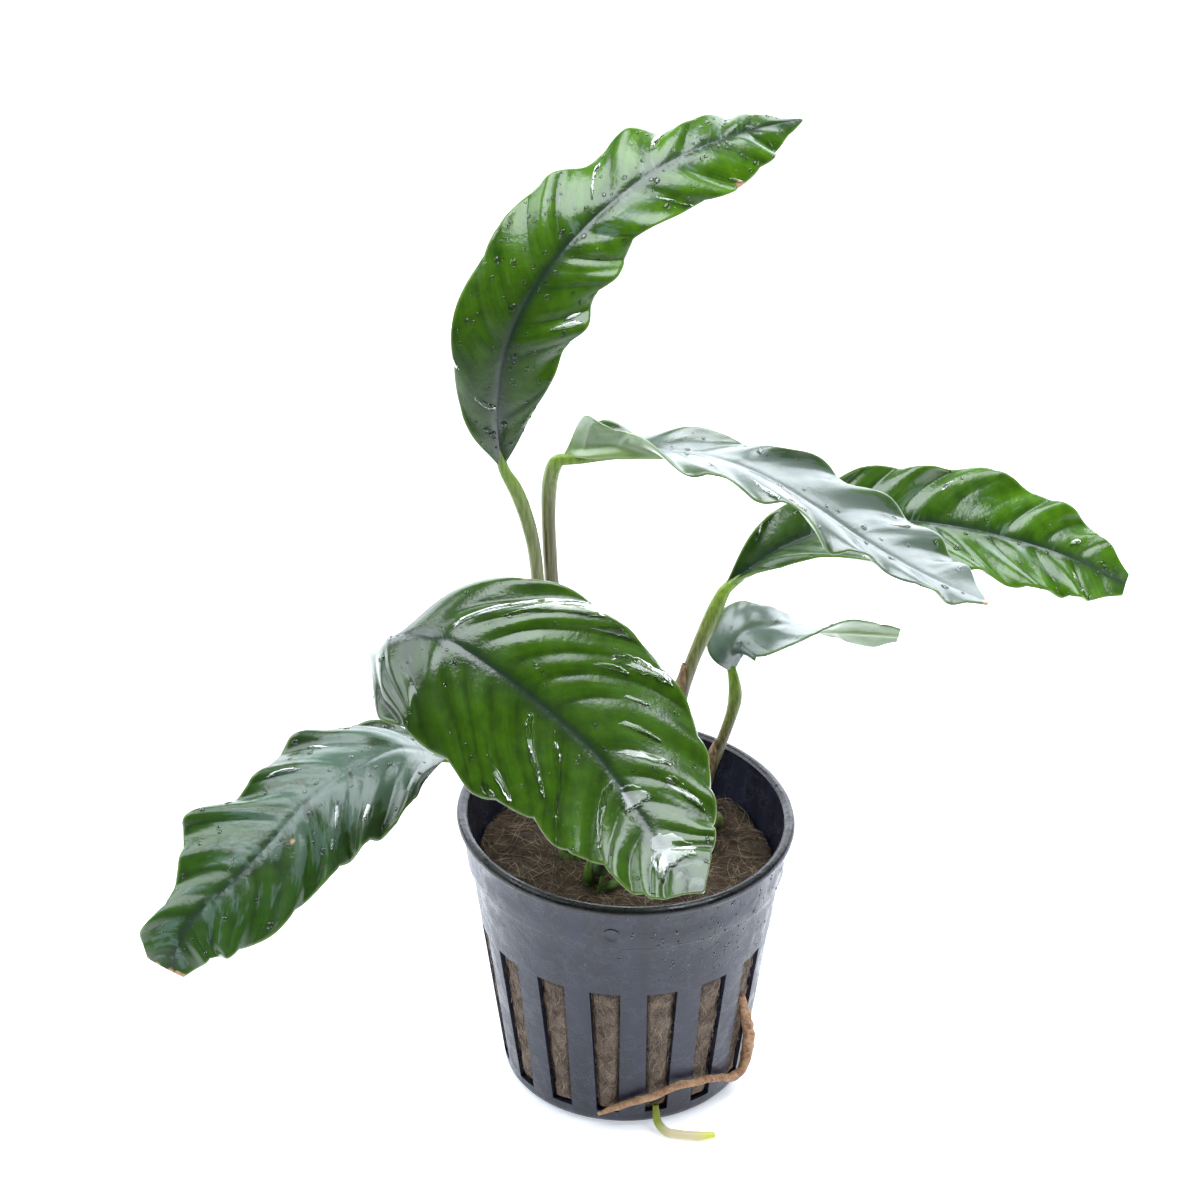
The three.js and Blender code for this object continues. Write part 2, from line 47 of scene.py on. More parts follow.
# Pot
POT_HEIGHT = 49
RIM_RADIUS = 27.5
BEAD_RADIUS = 0.95
COLLAR_BOTTOM_Z = 40
COLLAR_BOTTOM_RADIUS = 25.9
COLLAR_TOP_RADIUS = 26.5
COLLAR_SLOPE = 0.09
WALL_TOP_RADIUS = 25.3
WALL_BOTTOM_RADIUS = 20.2
WALL_BOTTOM_Z = 2.2
WALL = 0.9
FLOOR = 1.2
RIM_TILT = 0.0008
SLOT_COUNT = 16
SLOT_BOTTOM_Z = 3
SLOT_TOP_Z = 29.5
BAR_WIDTH = 4.3
SLOT_PHASE = math.radians(-8.3)
BOTTOM_CORNER = 2.2
COLLAR_FLARE_Z = 43.5
RIM_BAND = 2.4
SLOT_ROWS = 12
SLOT_COLUMNS = 6
BAR_COLUMNS = 6
POT_CREASE = 32

# Round moulding mark on the collar: its place, and rings of radius and height above the collar
MARK_ANGLE = -5.2
MARK_Z = 42.9
MARK_SIDES = 32
MARK_RINGS = [(1.5, -0.1), (1.42, 0.08), (1.25, 0.1), (1.1, 0.03), (0.02, 0.03)]

# Drops on the pot: angles in degrees, sizes in millimetres, and how many times taller than wide they are
POT_DROPS = dict(count=150, low=31, high=47, angle=38, spread=24, size=(0.1, 0.28), stretch=(1, 2))

# Rock wool
WOOL_TOP_Z = 40
WOOL_CROWN = 0.7
GAP = 0.3
WOOL_IN_SLOT = 0.8
WOOL_CROWN_RADIUS = 23
WOOL_COLUMNS = 420
WOOL_SIDE_ROWS = 75
WOOL_TOP_ROWS = 56

# Unevenness of the wool: height, size of one lump and seed
TOP_LUMPS = [(0.8, 4.5, 33), (0.35, 1.3, 34), (0.15, 0.5, 35)]
SIDE_LUMPS = (0.25, 3.1, 31)
SIDE_TUFTS = (0.22, 0.9, 32)
SIDE_DEPTH = 0.25

# Loose fibres, with the name and the screen colours of their material; the darker ones on top are partly
# wetter and partly painted shade
FIBRE_STEPS = 6
FIBRES = {
    "top_fibres_pale": dict(look="moist_shaded_fibre", dark=(110, 92, 70), light=(165, 146, 120),
                            count=900, on_top=True, seed=1, radius=0.05),
    "top_fibres_brown": dict(look="dark_fibre", dark=(58, 42, 28), light=(100, 78, 54),
                             count=1500, on_top=True, seed=2, radius=0.05),
    "side_fibres_pale": dict(look="pale_fibre", dark=(160, 142, 122), light=(206, 188, 165),
                             count=1100, on_top=False, seed=3, radius=0.035),
    "side_fibres_brown": dict(look="brown_fibre", dark=(84, 66, 50), light=(134, 112, 90),
                              count=1800, on_top=False, seed=4, radius=0.05),
}

# Leaf blades
BLADE_THICKNESS = 0.45
BLADE_ROWS = 230
BLADE_COLUMNS = 88
VEIN_SWEEP = 0.35
LOBE_DEPTH = 0.7
MARGIN_ROUNDING = 0.35
GROOVE_DEPTH = 0.12
RIB_DEPTH = 1.3
UNDER_VEIN_DEPTH = 0.15
STREAKS = (0.08, 1.8, 3)
DIMPLES = (0.14, 4.5, 5)
UNEVEN_PILLOWS = (0.6, 9, 8)

# Looks of the blades: screen colours, gloss of the leaf and of the water on it, strength of the pale
# veil of reflection, and the greyish tone painted over the ragged water film as its painted sheen
LEAF_LOOKS = {
    "wet_leaf": dict(dark=(38, 68, 3), bright=(70, 114, 5), gloss=0.3, film_gloss=0.035, veil=0.18,
                     painted_sheen_tone=(86, 112, 84)),
    "bright_leaf": dict(dark=(46, 86, 3), bright=(94, 146, 6), gloss=0.3, film_gloss=0.035, veil=0.18,
                        painted_sheen_tone=(96, 124, 96)),
    "veiled_leaf": dict(dark=(30, 62, 8), bright=(56, 98, 16), gloss=0.36, film_gloss=0.06, veil=0.3,
                        painted_sheen_tone=(80, 106, 88)),
    # The young leaf's greyish greens are partly its own colour and partly its silvery sheen painted in
    "young_leaf": dict(dark=(60, 92, 54), bright=(84, 124, 80), gloss=0.32, film_gloss=0.2, veil=1.0,
                       painted_sheen_tone=(90, 112, 100)),
    "silvered_leaf": dict(dark=(44, 80, 24), bright=(78, 118, 44), gloss=0.3, film_gloss=0.2, veil=0.84,
                          painted_sheen_tone=(92, 106, 96)),
}

# Each leaf is a midrib curve with the way its upper side faces, half widths to its left and right as seen
# from the base with the upper side up, and degrees by which each half folds up and curls. From base to tip,
# one list says how far a painted shade darkens it and film how much of it is painted with the greyish sheen
# of its water film, and a scar is its place s, u and its radius.
LEAVES = {
    "tall_leaf": dict(
        look="bright_leaf", slot="leaf", rib_run=0.1,
        rib=[(-19.5, 0, 114), (-20, -2, 126), (-18, -1.5, 138), (-12, 3, 147.5), (-4, 10, 153.5),
             (6, 18, 157.5), (17, 27, 158), (27.5, 36, 156)],
        face=[(0.15, -0.95, 0.15), (0.1, -0.95, 0.25), (-0.1, -0.75, 0.6), (-0.1, -0.55, 0.8)],
        left=[0.3, 4.3, 7, 9, 9.6, 9.8, 9.9, 7.5, 8.3, 5.3, 4.8, 2.4, 0.3],
        right=[0.3, 5, 7.5, 9, 9.8, 8.8, 8.4, 6.5, 7.8, 8.3, 7, 4, 0.3],
        fold_left=[20, 10, 5, 5],
        fold_right=[20, 10, 5, 5],
        curl_left=[-20, -30, -30, -30],
        curl_right=[-20, -30, -30, -30],
        veins=12, lean=0.6, pillow=[0.2, 0.35, 0.5, 0.6], waves=7, ruffle=0.8, broad_base=0.01,
        painted_shade=[0.5, 0.35, 0.1, 0, 0.1],
        film=[0.1, 0.3, 0.38, 0.42, 0.42],
        scars=[(0.79, -1, 0.9), (0.94, -1, 0.4)],
        stalk=[(-3, 0, 43), (-9, 2, 62), (-13.2, 2.5, 80), (-14.4, 2, 97), (-16.8, 1, 108), (-19.5, 0, 114)],
        stalk_radius=1.1,
    ),
    "front_leaf": dict(
        look="wet_leaf", slot="leaf", rib_run=0.1,
        rib=[(-40, -13.2, 88), (-35.9, -17, 93.4), (-28.8, -20.5, 95.7), (-20.7, -23, 91.8),
             (-12.7, -25, 85.7), (-4.5, -28, 78.8), (1.6, -33, 72), (6.2, -38.5, 67), (11.7, -43.5, 64.2)],
        face=[(-0.5, -0.15, 0.85), (-0.3, -0.35, 0.9), (-0.05, -0.6, 0.8), (0.1, -0.65, 0.75),
              (0.1, -0.6, 0.8), (0.05, -0.35, 0.95)],
        left=[0.3, 5, 9.5, 14.6, 17.7, 18.3, 18.2, 16.4, 14.4, 11.6, 9.4, 6.5, 0.3],
        right=[0.3, 12, 15.1, 15.8, 16.2, 17.2, 15.2, 14.3, 13.5, 10.3, 8.2, 6.2, 0.3],
        fold_left=[-60, -8, 5, 3, 0, 0, 0],
        fold_right=[-10, 0, 0, 0, 0],
        curl_left=[-20, -16, -10, 0],
        curl_right=[-20, -12, -4, 0],
        veins=15, lean=0.6, pillow=[0.5, 0.35, 0.2, 0.3, 0.5], waves=8, ruffle=0.5, broad_base=0.3,
        painted_shade=[0.9, 0.55, 0, 0, 0.1, 0.35],
        film=[0.6, 0.35, 0.25, 0.25, 0.35, 0.5],
        scars=[(0.27, 1, 0.6)],
        stalk=[(-6, -1, 43), (-14, -8, 58), (-26, -12, 72), (-35, -11, 82), (-39, -12.8, 87.2)],
        stalk_radius=1.2,
    ),
    "long_leaf": dict(
        look="silvered_leaf", slot="leaf", rib_run=0.3,
        rib=[(-10, 2, 114.5), (-1, -1, 117.5), (9, -4, 119), (19, -7, 117.5), (28.5, -9, 112.5),
             (37, -11, 107), (46.5, -13, 102), (55.7, -15, 98.4)],
        face=[(-0.1, 0.1, 1), (0, 0, 1), (0.15, -0.1, 1), (0.3, -0.1, 0.95), (0.3, -0.1, 0.95)],
        left=[0.3, 5.3, 4.2, 6.4, 7.7, 7.4, 11.4, 11.4, 13.4, 12, 9.4, 6.5, 0.3],
        right=[0.3, 6.5, 3.6, 6.7, 6.9, 6.9, 5.6, 7.8, 6, 4.5, 5.3, 3.7, 0.3],
        fold_left=[60, 20, -8, -8, -2, 0, 0, 0],
        fold_right=[115, 80, 20, 8, 15, 10, 18, 12, 10],
        curl_left=[0, 0, 20, 0, 0, 0],
        curl_right=[0, 0, -10, -10],
        veins=10, lean=0.6, pillow=[0.12, 0.12], waves=6, ruffle=1, broad_base=0.3,
        painted_shade=[0, 0.4, 0.35, 0.3, 0.3, 0.2],
        film=[0.3, 0.5, 0.72, 0.78, 0.82, 0.85],
        scars=[(1, 0, 1)],
        stalk=[(-1, 3.2, 43), (-7, 5, 62), (-11, 4.5, 80), (-12.2, 4, 98), (-12.2, 3.5, 108),
               (-11.3, 2.5, 113), (-10, 2, 114.5)],
        stalk_radius=1.2,
    ),
    "right_leaf": dict(
        look="bright_leaf", slot="leaf", rib_run=0.1,
        rib=[(16, 10, 86), (24, 15, 89.5), (34, 19, 91.5), (44, 22.5, 90.5), (54, 25.5, 87.5),
             (64, 27, 84), (73, 28, 80), (82, 27, 75.5)],
        face=[(-0.2, -0.3, 0.9), (0, -0.3, 0.95), (0, -0.3, 0.95), (0.2, -0.4, 0.85)],
        left=[0.3, 4.1, 5.9, 7, 9.2, 9.4, 9.6, 11.5, 9.4, 9, 7.2, 5.2, 2],
        right=[0.3, 3.5, 8, 12.5, 12.3, 12, 11, 9.5, 10.1, 8.8, 8, 6, 2.4],
        fold_left=[50, 30, 25, 15],
        fold_right=[30, 10, 5, 5],
        curl_left=[0, 0, -10, -10],
        curl_right=[0, 0, -10, -10],
        veins=9, lean=0.6, pillow=[0.2, 0.5, 0.6], waves=6, ruffle=0.8, broad_base=0.01,
        painted_shade=[0.7, 0.5, 0.1, 0],
        film=[0.3, 0.45, 0.4, 0.3],
        scars=[],
        stalk=[(4.5, 2.8, 43), (7, 6, 58), (10, 7.5, 71), (13.5, 9, 80), (16, 10, 86)],
        stalk_radius=1.2,
    ),
    "young_leaf": dict(
        look="young_leaf", slot="young_leaf", rib_run=0.1,
        rib=[(17.4, 13, 67.5), (17, 13, 72), (19.5, 13.5, 75), (25, 14.5, 75.5), (32, 16, 74),
             (38, 16.5, 73), (44.4, 17, 72)],
        face=[(0.5, -0.85, 0.1), (-0.1, -0.55, 0.85), (0, -0.35, 0.95), (0, 0.35, 0.95), (0, 0.85, 0.45),
              (0, 0.95, 0.2)],
        left=[0.3, 4.6, 5.9, 5, 4.5, 4, 3.5, 1.5],
        right=[0.3, 4.4, 5.7, 6, 5, 4, 3, 1.5],
        fold_left=[0, 0],
        fold_right=[0, 0],
        curl_left=[0, 0],
        curl_right=[0, 0],
        veins=7, lean=0.4, pillow=[0.08, 0.08], waves=3, ruffle=0.3, broad_base=0.01,
        painted_shade=[0.4, 0.3, 0, 0],
        film=[0.7, 0.7, 0.5, 0.3],
        scars=[],
        stalk=[(12, 6.6, 43), (13.4, 8, 50.5), (16.1, 10, 57.3), (17.8, 12, 62.7), (17.4, 13, 67.5)],
        stalk_radius=1.05,
    ),
    "low_leaf": dict(
        look="veiled_leaf", slot="leaf", rib_run=0.1,
        rib=[(-28.8, -5, 63), (-36.5, -8, 66.5), (-44, -11.5, 64.5), (-50.5, -15, 61), (-56, -19, 56.5),
             (-62, -22.7, 51.5), (-69.6, -26.3, 45), (-72.3, -28.3, 37.8)],
        face=[(-0.1, -0.1, 1), (-0.1, -0.2, 1), (-0.1, -0.5, 0.9), (-0.2, -0.7, 0.7), (-0.3, -0.8, 0.6)],
        left=[0.3, 10, 12.6, 12.9, 11.8, 11.6, 10.6, 10.7, 10.4, 9.2, 7.6, 5.4, 2.4],
        right=[0.3, 8, 10.8, 12.5, 11.5, 10.1, 10.5, 13.6, 12.2, 7.5, 5.7, 6.8, 4.8],
        fold_left=[0, 0],
        fold_right=[0, 0],
        curl_left=[-10, -20, -20, -10],
        curl_right=[-10, -10, -10, -10],
        veins=14, lean=0.6, pillow=[0.3, 0.2, 0.12], waves=6, ruffle=0.9, broad_base=0.01,
        painted_shade=[0.6, 0.4, 0.05, 0],
        film=[0.55, 0.6, 0.54, 0.45, 0.44],
        scars=[(1, 0, 0.6), (1, 0.5, 0.6), (1, -0.5, 0.5), (1, 1, 0.5), (1, -1, 0.6), (0.53, 0.23, 0.3)],
        stalk=[(-9, -1.5, 42.6), (-17, -1, 52.5), (-24, -1, 59.5), (-28.8, -5, 63)],
        stalk_radius=1.1,
    ),
}
STALK_SWELL = [1.25, 1, 0.95, 0.95, 1.1, 0.75]
STALK_SIDES = 20
STALK_STEPS = 90
STALK_SMOOTHING = 24
STALK_ROWS_PER_RIB = 140

# Water: drops on each leaf, the share of them near the midrib, and pools scattered at random on each leaf
LEAF_DROPS = {"tall_leaf": 240, "front_leaf": 90, "long_leaf": 50, "right_leaf": 60, "low_leaf": 90,
              "young_leaf": 12}
RIB_DROPS = 0.3
PATCH_COUNTS = {"tall_leaf": 9, "front_leaf": 3, "long_leaf": 3, "right_leaf": 6, "low_leaf": 5}
PATCH_HEIGHT = 0.25
WATER_LEVELLING = 0.2
PATCH_SIDES = 90
PATCH_RINGS = np.array([1, 0.985, 0.94, 0.88, 0.8, 0.7, 0.5, 0.25, 0.06])
PATCH_WAVES = [(0.14, 2), (0.1, 3), (0.07, 7), (0.05, 11), (0.05, 17), (0.03, 29)]

# Pools at about the places where the photo has them: s, u, and half sizes out from and along the midrib
WATER_PATCHES = {
    "front_leaf": [
        (0.5, -0.38, 3.7, 0.7), (0.53, -0.62, 2.8, 0.5), (0.594, -0.62, 6.5, 0.8), (0.7, -0.42, 4.5, 0.8),
        (0.45, -0.8, 3, 0.5), (0.86, 0.1, 4.2, 3.2), (0.72, 0.05, 2.6, 1.6), (0.513, 0.86, 2.2, 1.4),
        (0.43, 0.88, 2, 1.3), (0.74, 0.8, 2, 1.6), (0.44, -0.9, 1.4, 0.9), (0.356, 0.7, 5, 0.9),
        (0.656, 0.4, 3, 0.7), (0.6, 0.45, 3.2, 0.5), (0.3, 0.5, 5.5, 0.6),
    ],
}

# Papery sheaths round two stalks
SHEATHS = {
    "right_leaf_sheath": dict(
        rib=[(3.4, 3, 49), (4.8, 4.6, 57), (7.2, 6, 66.5), (8.4, 6.6, 70), (9.2, 7.1, 72.8)],
        face=[(0.9, 0.4, -0.2), (0.9, 0.35, -0.3)],
        width=[1.4, 1.7, 1.6, 1.4, 0.8],
    ),
    "young_leaf_sheath": dict(
        rib=[(10.7, 5.1, 46.4), (11.8, 6, 50.2), (13.2, 7.2, 54), (14.8, 8.6, 57.2)],
        face=[(0.65, 0.7, -0.3), (0.65, 0.6, -0.45)],
        width=[1.3, 1.5, 1.2, 0.3],
    ),
}
SHEATH_THICKNESS = 0.3
SHEATH_CURL = 70
SHEATH_WRINKLES = (0.12, 0.8, 23)

# Rods: curve points and the radii along them
RHIZOME = dict(
    path=[(-10.5, -2, 41), (-4, 0, 42), (4, 2.8, 42.6), (12, 6.2, 42.2), (15.5, 7.8, 41.8)],
    radii=[1.7, 2.9, 3, 2.6, 1.4],
)
SHOOT = dict(
    path=[(-4.6, -6, 43), (-4.2, -8.5, 43.6), (-3.8, -11, 45.8), (-3.6, -12.4, 48.6)],
    radii=[1.1, 1.3, 1, 0.25],
)
SHOOT_BLADES = {
    "shoot_blade_pale": dict(
        path=[(-4.4, -11, 40.6), (-3.9, -10.9, 43), (-3.6, -10.3, 45.4)],
        radii=[0.45, 0.4, 0.15],
    ),
    "shoot_blade_left": dict(
        path=[(-5.9, -8.3, 40.6), (-6.1, -8.3, 42.6), (-6, -8, 45)],
        radii=[0.9, 0.8, 0.3],
    ),
    "shoot_blade_right": dict(
        path=[(-3.4, -10.8, 41), (-2.2, -10.5, 41.8), (-0.8, -9.8, 42)],
        radii=[0.4, 0.8, 0.2],
    ),
}
OLD_ROOT = dict(
    path=[(18.9, -11.8, 20.5), (19.8, -11, 15.5), (20.3, -10.7, 11), (20.1, -9.7, 7.4), (19.2, -10.7, 4.5),
          (17.4, -13, 4.6), (15.7, -15.1, 6.2), (13.2, -17.7, 7.8), (10.6, -19.5, 8.4), (8.4, -20.6, 8.8),
          (4.9, -21.5, 7.5), (1.2, -21.7, 6.3), (-2.3, -21.4, 4.6), (-4.5, -20.8, 3.1)],
    radii=[0.6, 0.9, 1, 0.95, 0.8, 0.7, 0.6, 0.6, 0.6, 0.65, 0.6, 0.6, 0.55, 0.3],
)
NEW_ROOT = dict(
    path=[(4.9, -20.3, 4.6), (5.2, -21.5, 2.2), (6.6, -22.7, 0.9), (8.8, -23.3, 0.8), (11.8, -23.7, 0.8),
          (14.6, -23.4, 0.8)],
    radii=[0.5, 0.65, 0.75, 0.75, 0.75, 0.45],
)

# Lights: place, where they point, size and power
LIGHTS = {
    "back_light": dict(place=(0, 1.65, 0.8), aim=(0, 0, 0.1), size=(3.2, 1.3), power=58,
                       colour=(0.86, 0.91, 1)),
    "top_light_right": dict(place=(0.5, -0.08, 1.6), aim=(0.5, -0.08, 0.1), size=(1.1, 1.36), power=40,
                            colour=(0.88, 0.92, 1)),
    "top_light_left": dict(place=(-0.85, -0.08, 1.6), aim=(-0.85, -0.08, 0.1), size=(0.6, 1.36), power=13,
                           colour=(0.88, 0.92, 1)),
    "left_light": dict(place=(-1.5, 0.35, 1.15), aim=(0, 0, 0.1), size=(1.3, 1.3), power=22,
                       colour=(0.86, 0.91, 1)),
}


# Number helpers

def unit(vectors):
    vectors = np.asarray(vectors, float)
    return vectors / np.maximum(np.linalg.norm(vectors, axis=-1, keepdims=True), 1e-12)


def fade(x):
    x = np.clip(x, 0, 1)
    return x * x * (3 - 2 * x)


def smooth_curve(points, t):
    """A smooth curve through evenly spaced points, at t from 0 to 1."""
    points = np.asarray(points, float)
    if points.ndim == 1:
        points = points[:, None]
    count = len(points) - 1
    t = np.clip(np.asarray(t, float), 0, 1) * count
    index = np.minimum(t.astype(int), count - 1)
    f = (t - index)[..., None]
    longer = np.vstack([2 * points[0] - points[1], points, 2 * points[-1] - points[-2]])
    a, b, c, d = (longer[index + shift] for shift in range(4))
    return 0.5 * (2 * b + (c - a) * f + (2 * a - 5 * b + 4 * c - d) * f**2 + (3 * b - a - 3 * c + d) * f**3)


def smooth_values(values, t):
    return smooth_curve(values, t)[..., 0]


def curve_length(points):
    steps = np.diff(smooth_curve(points, np.linspace(0, 1, 200)), axis=0)
    return np.linalg.norm(steps, axis=1).sum()


def cloud(points, cell, seed):
    """Smooth random values from -1 to 1 that change over about one cell, the same on every run."""
    grid = np.asarray(points, float) / cell
    low = np.floor(grid).astype(np.int64)
    part = fade(grid - low)
    total = 0.0
    for corner in np.ndindex(2, 2, 2):
        key = (low + corner) @ np.array([73856093, 19349663, 83492791]) + seed * 7919
        key = ((key ^ (key >> 13)) * 1274126177) & 0xFFFFFFFF
        value = ((key ^ (key >> 16)) & 0xFFFF) / 32767.5 - 1
        total = total + value * np.prod(np.where(corner, part, 1 - part), axis=-1)
    return total


def relief(points, layer):
    """Unevenness from one (height, cell, seed)."""
    height, cell, seed = layer
    return height * cloud(points, cell, seed)


def round_pot(r, angle, z):
    """The point at radius r, turned by an angle from the front, at height z."""
    return np.stack(np.broadcast_arrays(r * np.sin(angle), -r * np.cos(angle), z), -1)


# Mesh helpers

def mesh_object(name, points, faces, material, replaced=(), layers=None, crease=None):
    """One mesh piece from points in millimetres. Layers are numbers per point that the materials read."""
    mesh = bpy.data.meshes.new(name)
    mesh.from_pydata((np.asarray(points) * MM).tolist(), [], [list(map(int, face)) for face in faces])
    for layer, values in (layers or {}).items():
        attribute = mesh.attributes.new(layer, "FLOAT", "POINT")
        attribute.data.foreach_set("value", np.asarray(values, np.float32).ravel())
    mesh.shade_smooth()
    if crease is not None:
        mesh.set_sharp_from_angle(angle=math.radians(crease))
    mesh.materials.append(material)
    piece = bpy.data.objects.new(name, mesh)
    bpy.context.scene.collection.objects.link(piece)
    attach(piece, "root")
    if replaced:
        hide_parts(*replaced)
    return piece


def grid_faces(rows, columns, start=0, closed=False, flip=False):
    """Four-sided faces of a grid of points; closed joins the last column to the first."""
    row = np.arange(rows - 1)[:, None]
    column = np.arange(columns if closed else columns - 1)[None, :]
    a = row * columns + column
    b = row * columns + (column + 1) % columns
    faces = np.stack([a, b, b + columns, a + columns], -1).reshape(-1, 4) + start
    return faces[:, ::-1] if flip else faces


def carried_frames(paths):
    """Two directions across each path that turn with it, for paths of shape (..., steps, 3)."""
    along = unit(np.gradient(paths, axis=-2))
    first = np.zeros_like(along)
    helper = np.where(np.abs(along[..., 0, 2:3]) < 0.9, np.array([0.0, 0.0, 1.0]), np.array([1.0, 0.0, 0.0]))
    side = unit(np.cross(helper, along[..., 0, :]))
    for step in range(paths.shape[-2]):
        here = along[..., step, :]
        side = unit(side - here * np.sum(side * here, -1, keepdims=True))
        first[..., step, :] = side
    return first, np.cross(along, first)


def tube_points(paths, radii, sides):
    """Rings of points round each path: shape (..., steps, sides, 3)."""
    first, second = carried_frames(paths)
    angle = np.linspace(0, 2 * np.pi, sides, endpoint=False)
    ring = (np.cos(angle)[:, None] * first[..., None, :] + np.sin(angle)[:, None] * second[..., None, :])
    radii = np.asarray(radii)
    radii = radii[..., None, None] if radii.ndim == paths.ndim - 1 else radii[..., None]
    return paths[..., None, :] + radii * ring


def tube(path, radii, sides):
    """One closed tube as (points, faces)."""
    rings = tube_points(path, radii, sides)
    steps = len(path)
    points = np.vstack([rings.reshape(-1, 3), path[:1], path[-1:]])
    faces = grid_faces(steps, sides, closed=True).tolist()
    first, last = steps * sides, steps * sides + 1
    for side in range(sides):
        after = (side + 1) % sides
        faces.append([first, after, side])
        faces.append([last, (steps - 1) * sides + side, (steps - 1) * sides + after])
    return points, faces


def strands(paths, radius, sides=3):
    """Many thin fibres as (points, faces), for paths of shape (count, steps, 3)."""
    count, steps, _ = paths.shape
    taper = radius * np.array([0.3] + [1.0] * (steps - 2) + [0.3])
    rings = tube_points(paths, np.broadcast_to(taper, (count, steps)), sides)
    one = grid_faces(steps, sides, closed=True)
    faces = (one[None] + (np.arange(count) * steps * sides)[:, None, None]).reshape(-1, 4)
    return rings.reshape(-1, 3), faces


# Material helpers

class Shader:
    """A material's node tree, with one short call for each kind of node it uses."""

    def __init__(self, name):
        self.material = bpy.data.materials.new(name)
        self.material.use_nodes = True
        self.tree = self.material.node_tree
        self.surface = self.tree.nodes["Principled BSDF"]
        self.place = self.tree.nodes.new("ShaderNodeTexCoord").outputs["Object"]

    def put(self, socket, value):
        if isinstance(value, bpy.types.NodeSocket):
            self.tree.links.new(value, socket)
        elif isinstance(value, tuple) and len(value) == 3 and socket.type == "RGBA":
            socket.default_value = (*value, 1)
        else:
            socket.default_value = value

    def set(self, **values):
        for name, value in values.items():
            self.put(self.surface.inputs[name.replace("_", " ")], value)

    def node(self, kind, output, inputs, **settings):
        """One node with its settings and inputs given, and the output that is wanted from it."""
        node = self.tree.nodes.new(f"ShaderNode{kind}")
        for name, value in settings.items():
            setattr(node, name, value)
        for name, value in inputs.items():
            self.put(node.inputs[name], value)
        return node.outputs[output]

    def layer(self, name):
        return self.node("Attribute", "Fac", {}, attribute_name=name)

    def axis(self, name):
        """The X, Y or Z of the place on the object, in metres."""
        return self.node("SeparateXYZ", name, {0: self.place})

    def combine(self, x, y):
        return self.node("CombineXYZ", 0, {0: x, 1: y})

    def stretched(self, x, y, z):
        return self.node("Mapping", "Vector", {"Vector": self.place, "Scale": (x, y, z)})

    def noise(self, size, detail=3, roughness=0.5, vector=None):
        """Noise with features of about size millimetres, or size units of the vector."""
        place, scale = (self.place, 1 / (size * MM)) if vector is None else (vector, 1 / size)
        inputs = {"Vector": place, "Scale": scale, "Detail": detail, "Roughness": roughness}
        return self.node("TexNoise", "Fac", inputs)

    def math(self, operation, a, b=0.0):
        return self.node("Math", 0, {0: a, 1: b}, operation=operation)

    def range(self, value, low, high, to_low=0.0, to_high=1.0):
        inputs = {"Value": value, "From Min": low, "From Max": high, "To Min": to_low, "To Max": to_high}
        return self.node("MapRange", "Result", inputs)

    def mix(self, factor, a, b):
        return self.node("Mix", 2, {"Factor": factor, 6: a, 7: b}, data_type="RGBA")

    def tint(self, colour, layer, share, tone):
        """The colour, mixed with a tone by a share of a layer."""
        return self.mix(self.math("MULTIPLY", self.layer(layer), share), colour, tone)

    def mottled(self, noise, dark, light, low=0.35, high=0.65):
        """Dark to light along with a noise."""
        return self.mix(self.range(noise, low, high), srgb(*dark), srgb(*light))

    def bump(self, height, depth, under=None):
        """Relief of about depth millimetres."""
        inputs = {"Distance": depth * MM, "Height": height}
        if under is not None:
            inputs["Normal"] = under
        return self.node("Bump", "Normal", inputs)


def srgb(red, green, blue):
    """A colour as seen on a screen, 0 to 255, in the linear values that shaders take."""
    return tuple(
        value / 12.92 if value <= 0.04045 else ((value + 0.055) / 1.055) ** 2.4
        for value in (red / 255, green / 255, blue / 255)
    )


# Dark green of the painted shade on the blades
PAINTED_SHADE_GREEN = srgb(14, 32, 14)
VEIN_GREEN = srgb(26, 48, 12)
RIB_GREEN = srgb(34, 50, 42)
MARGIN_GREEN = srgb(120, 150, 60)
SCAR_TAN = srgb(190, 150, 110)


# Materials

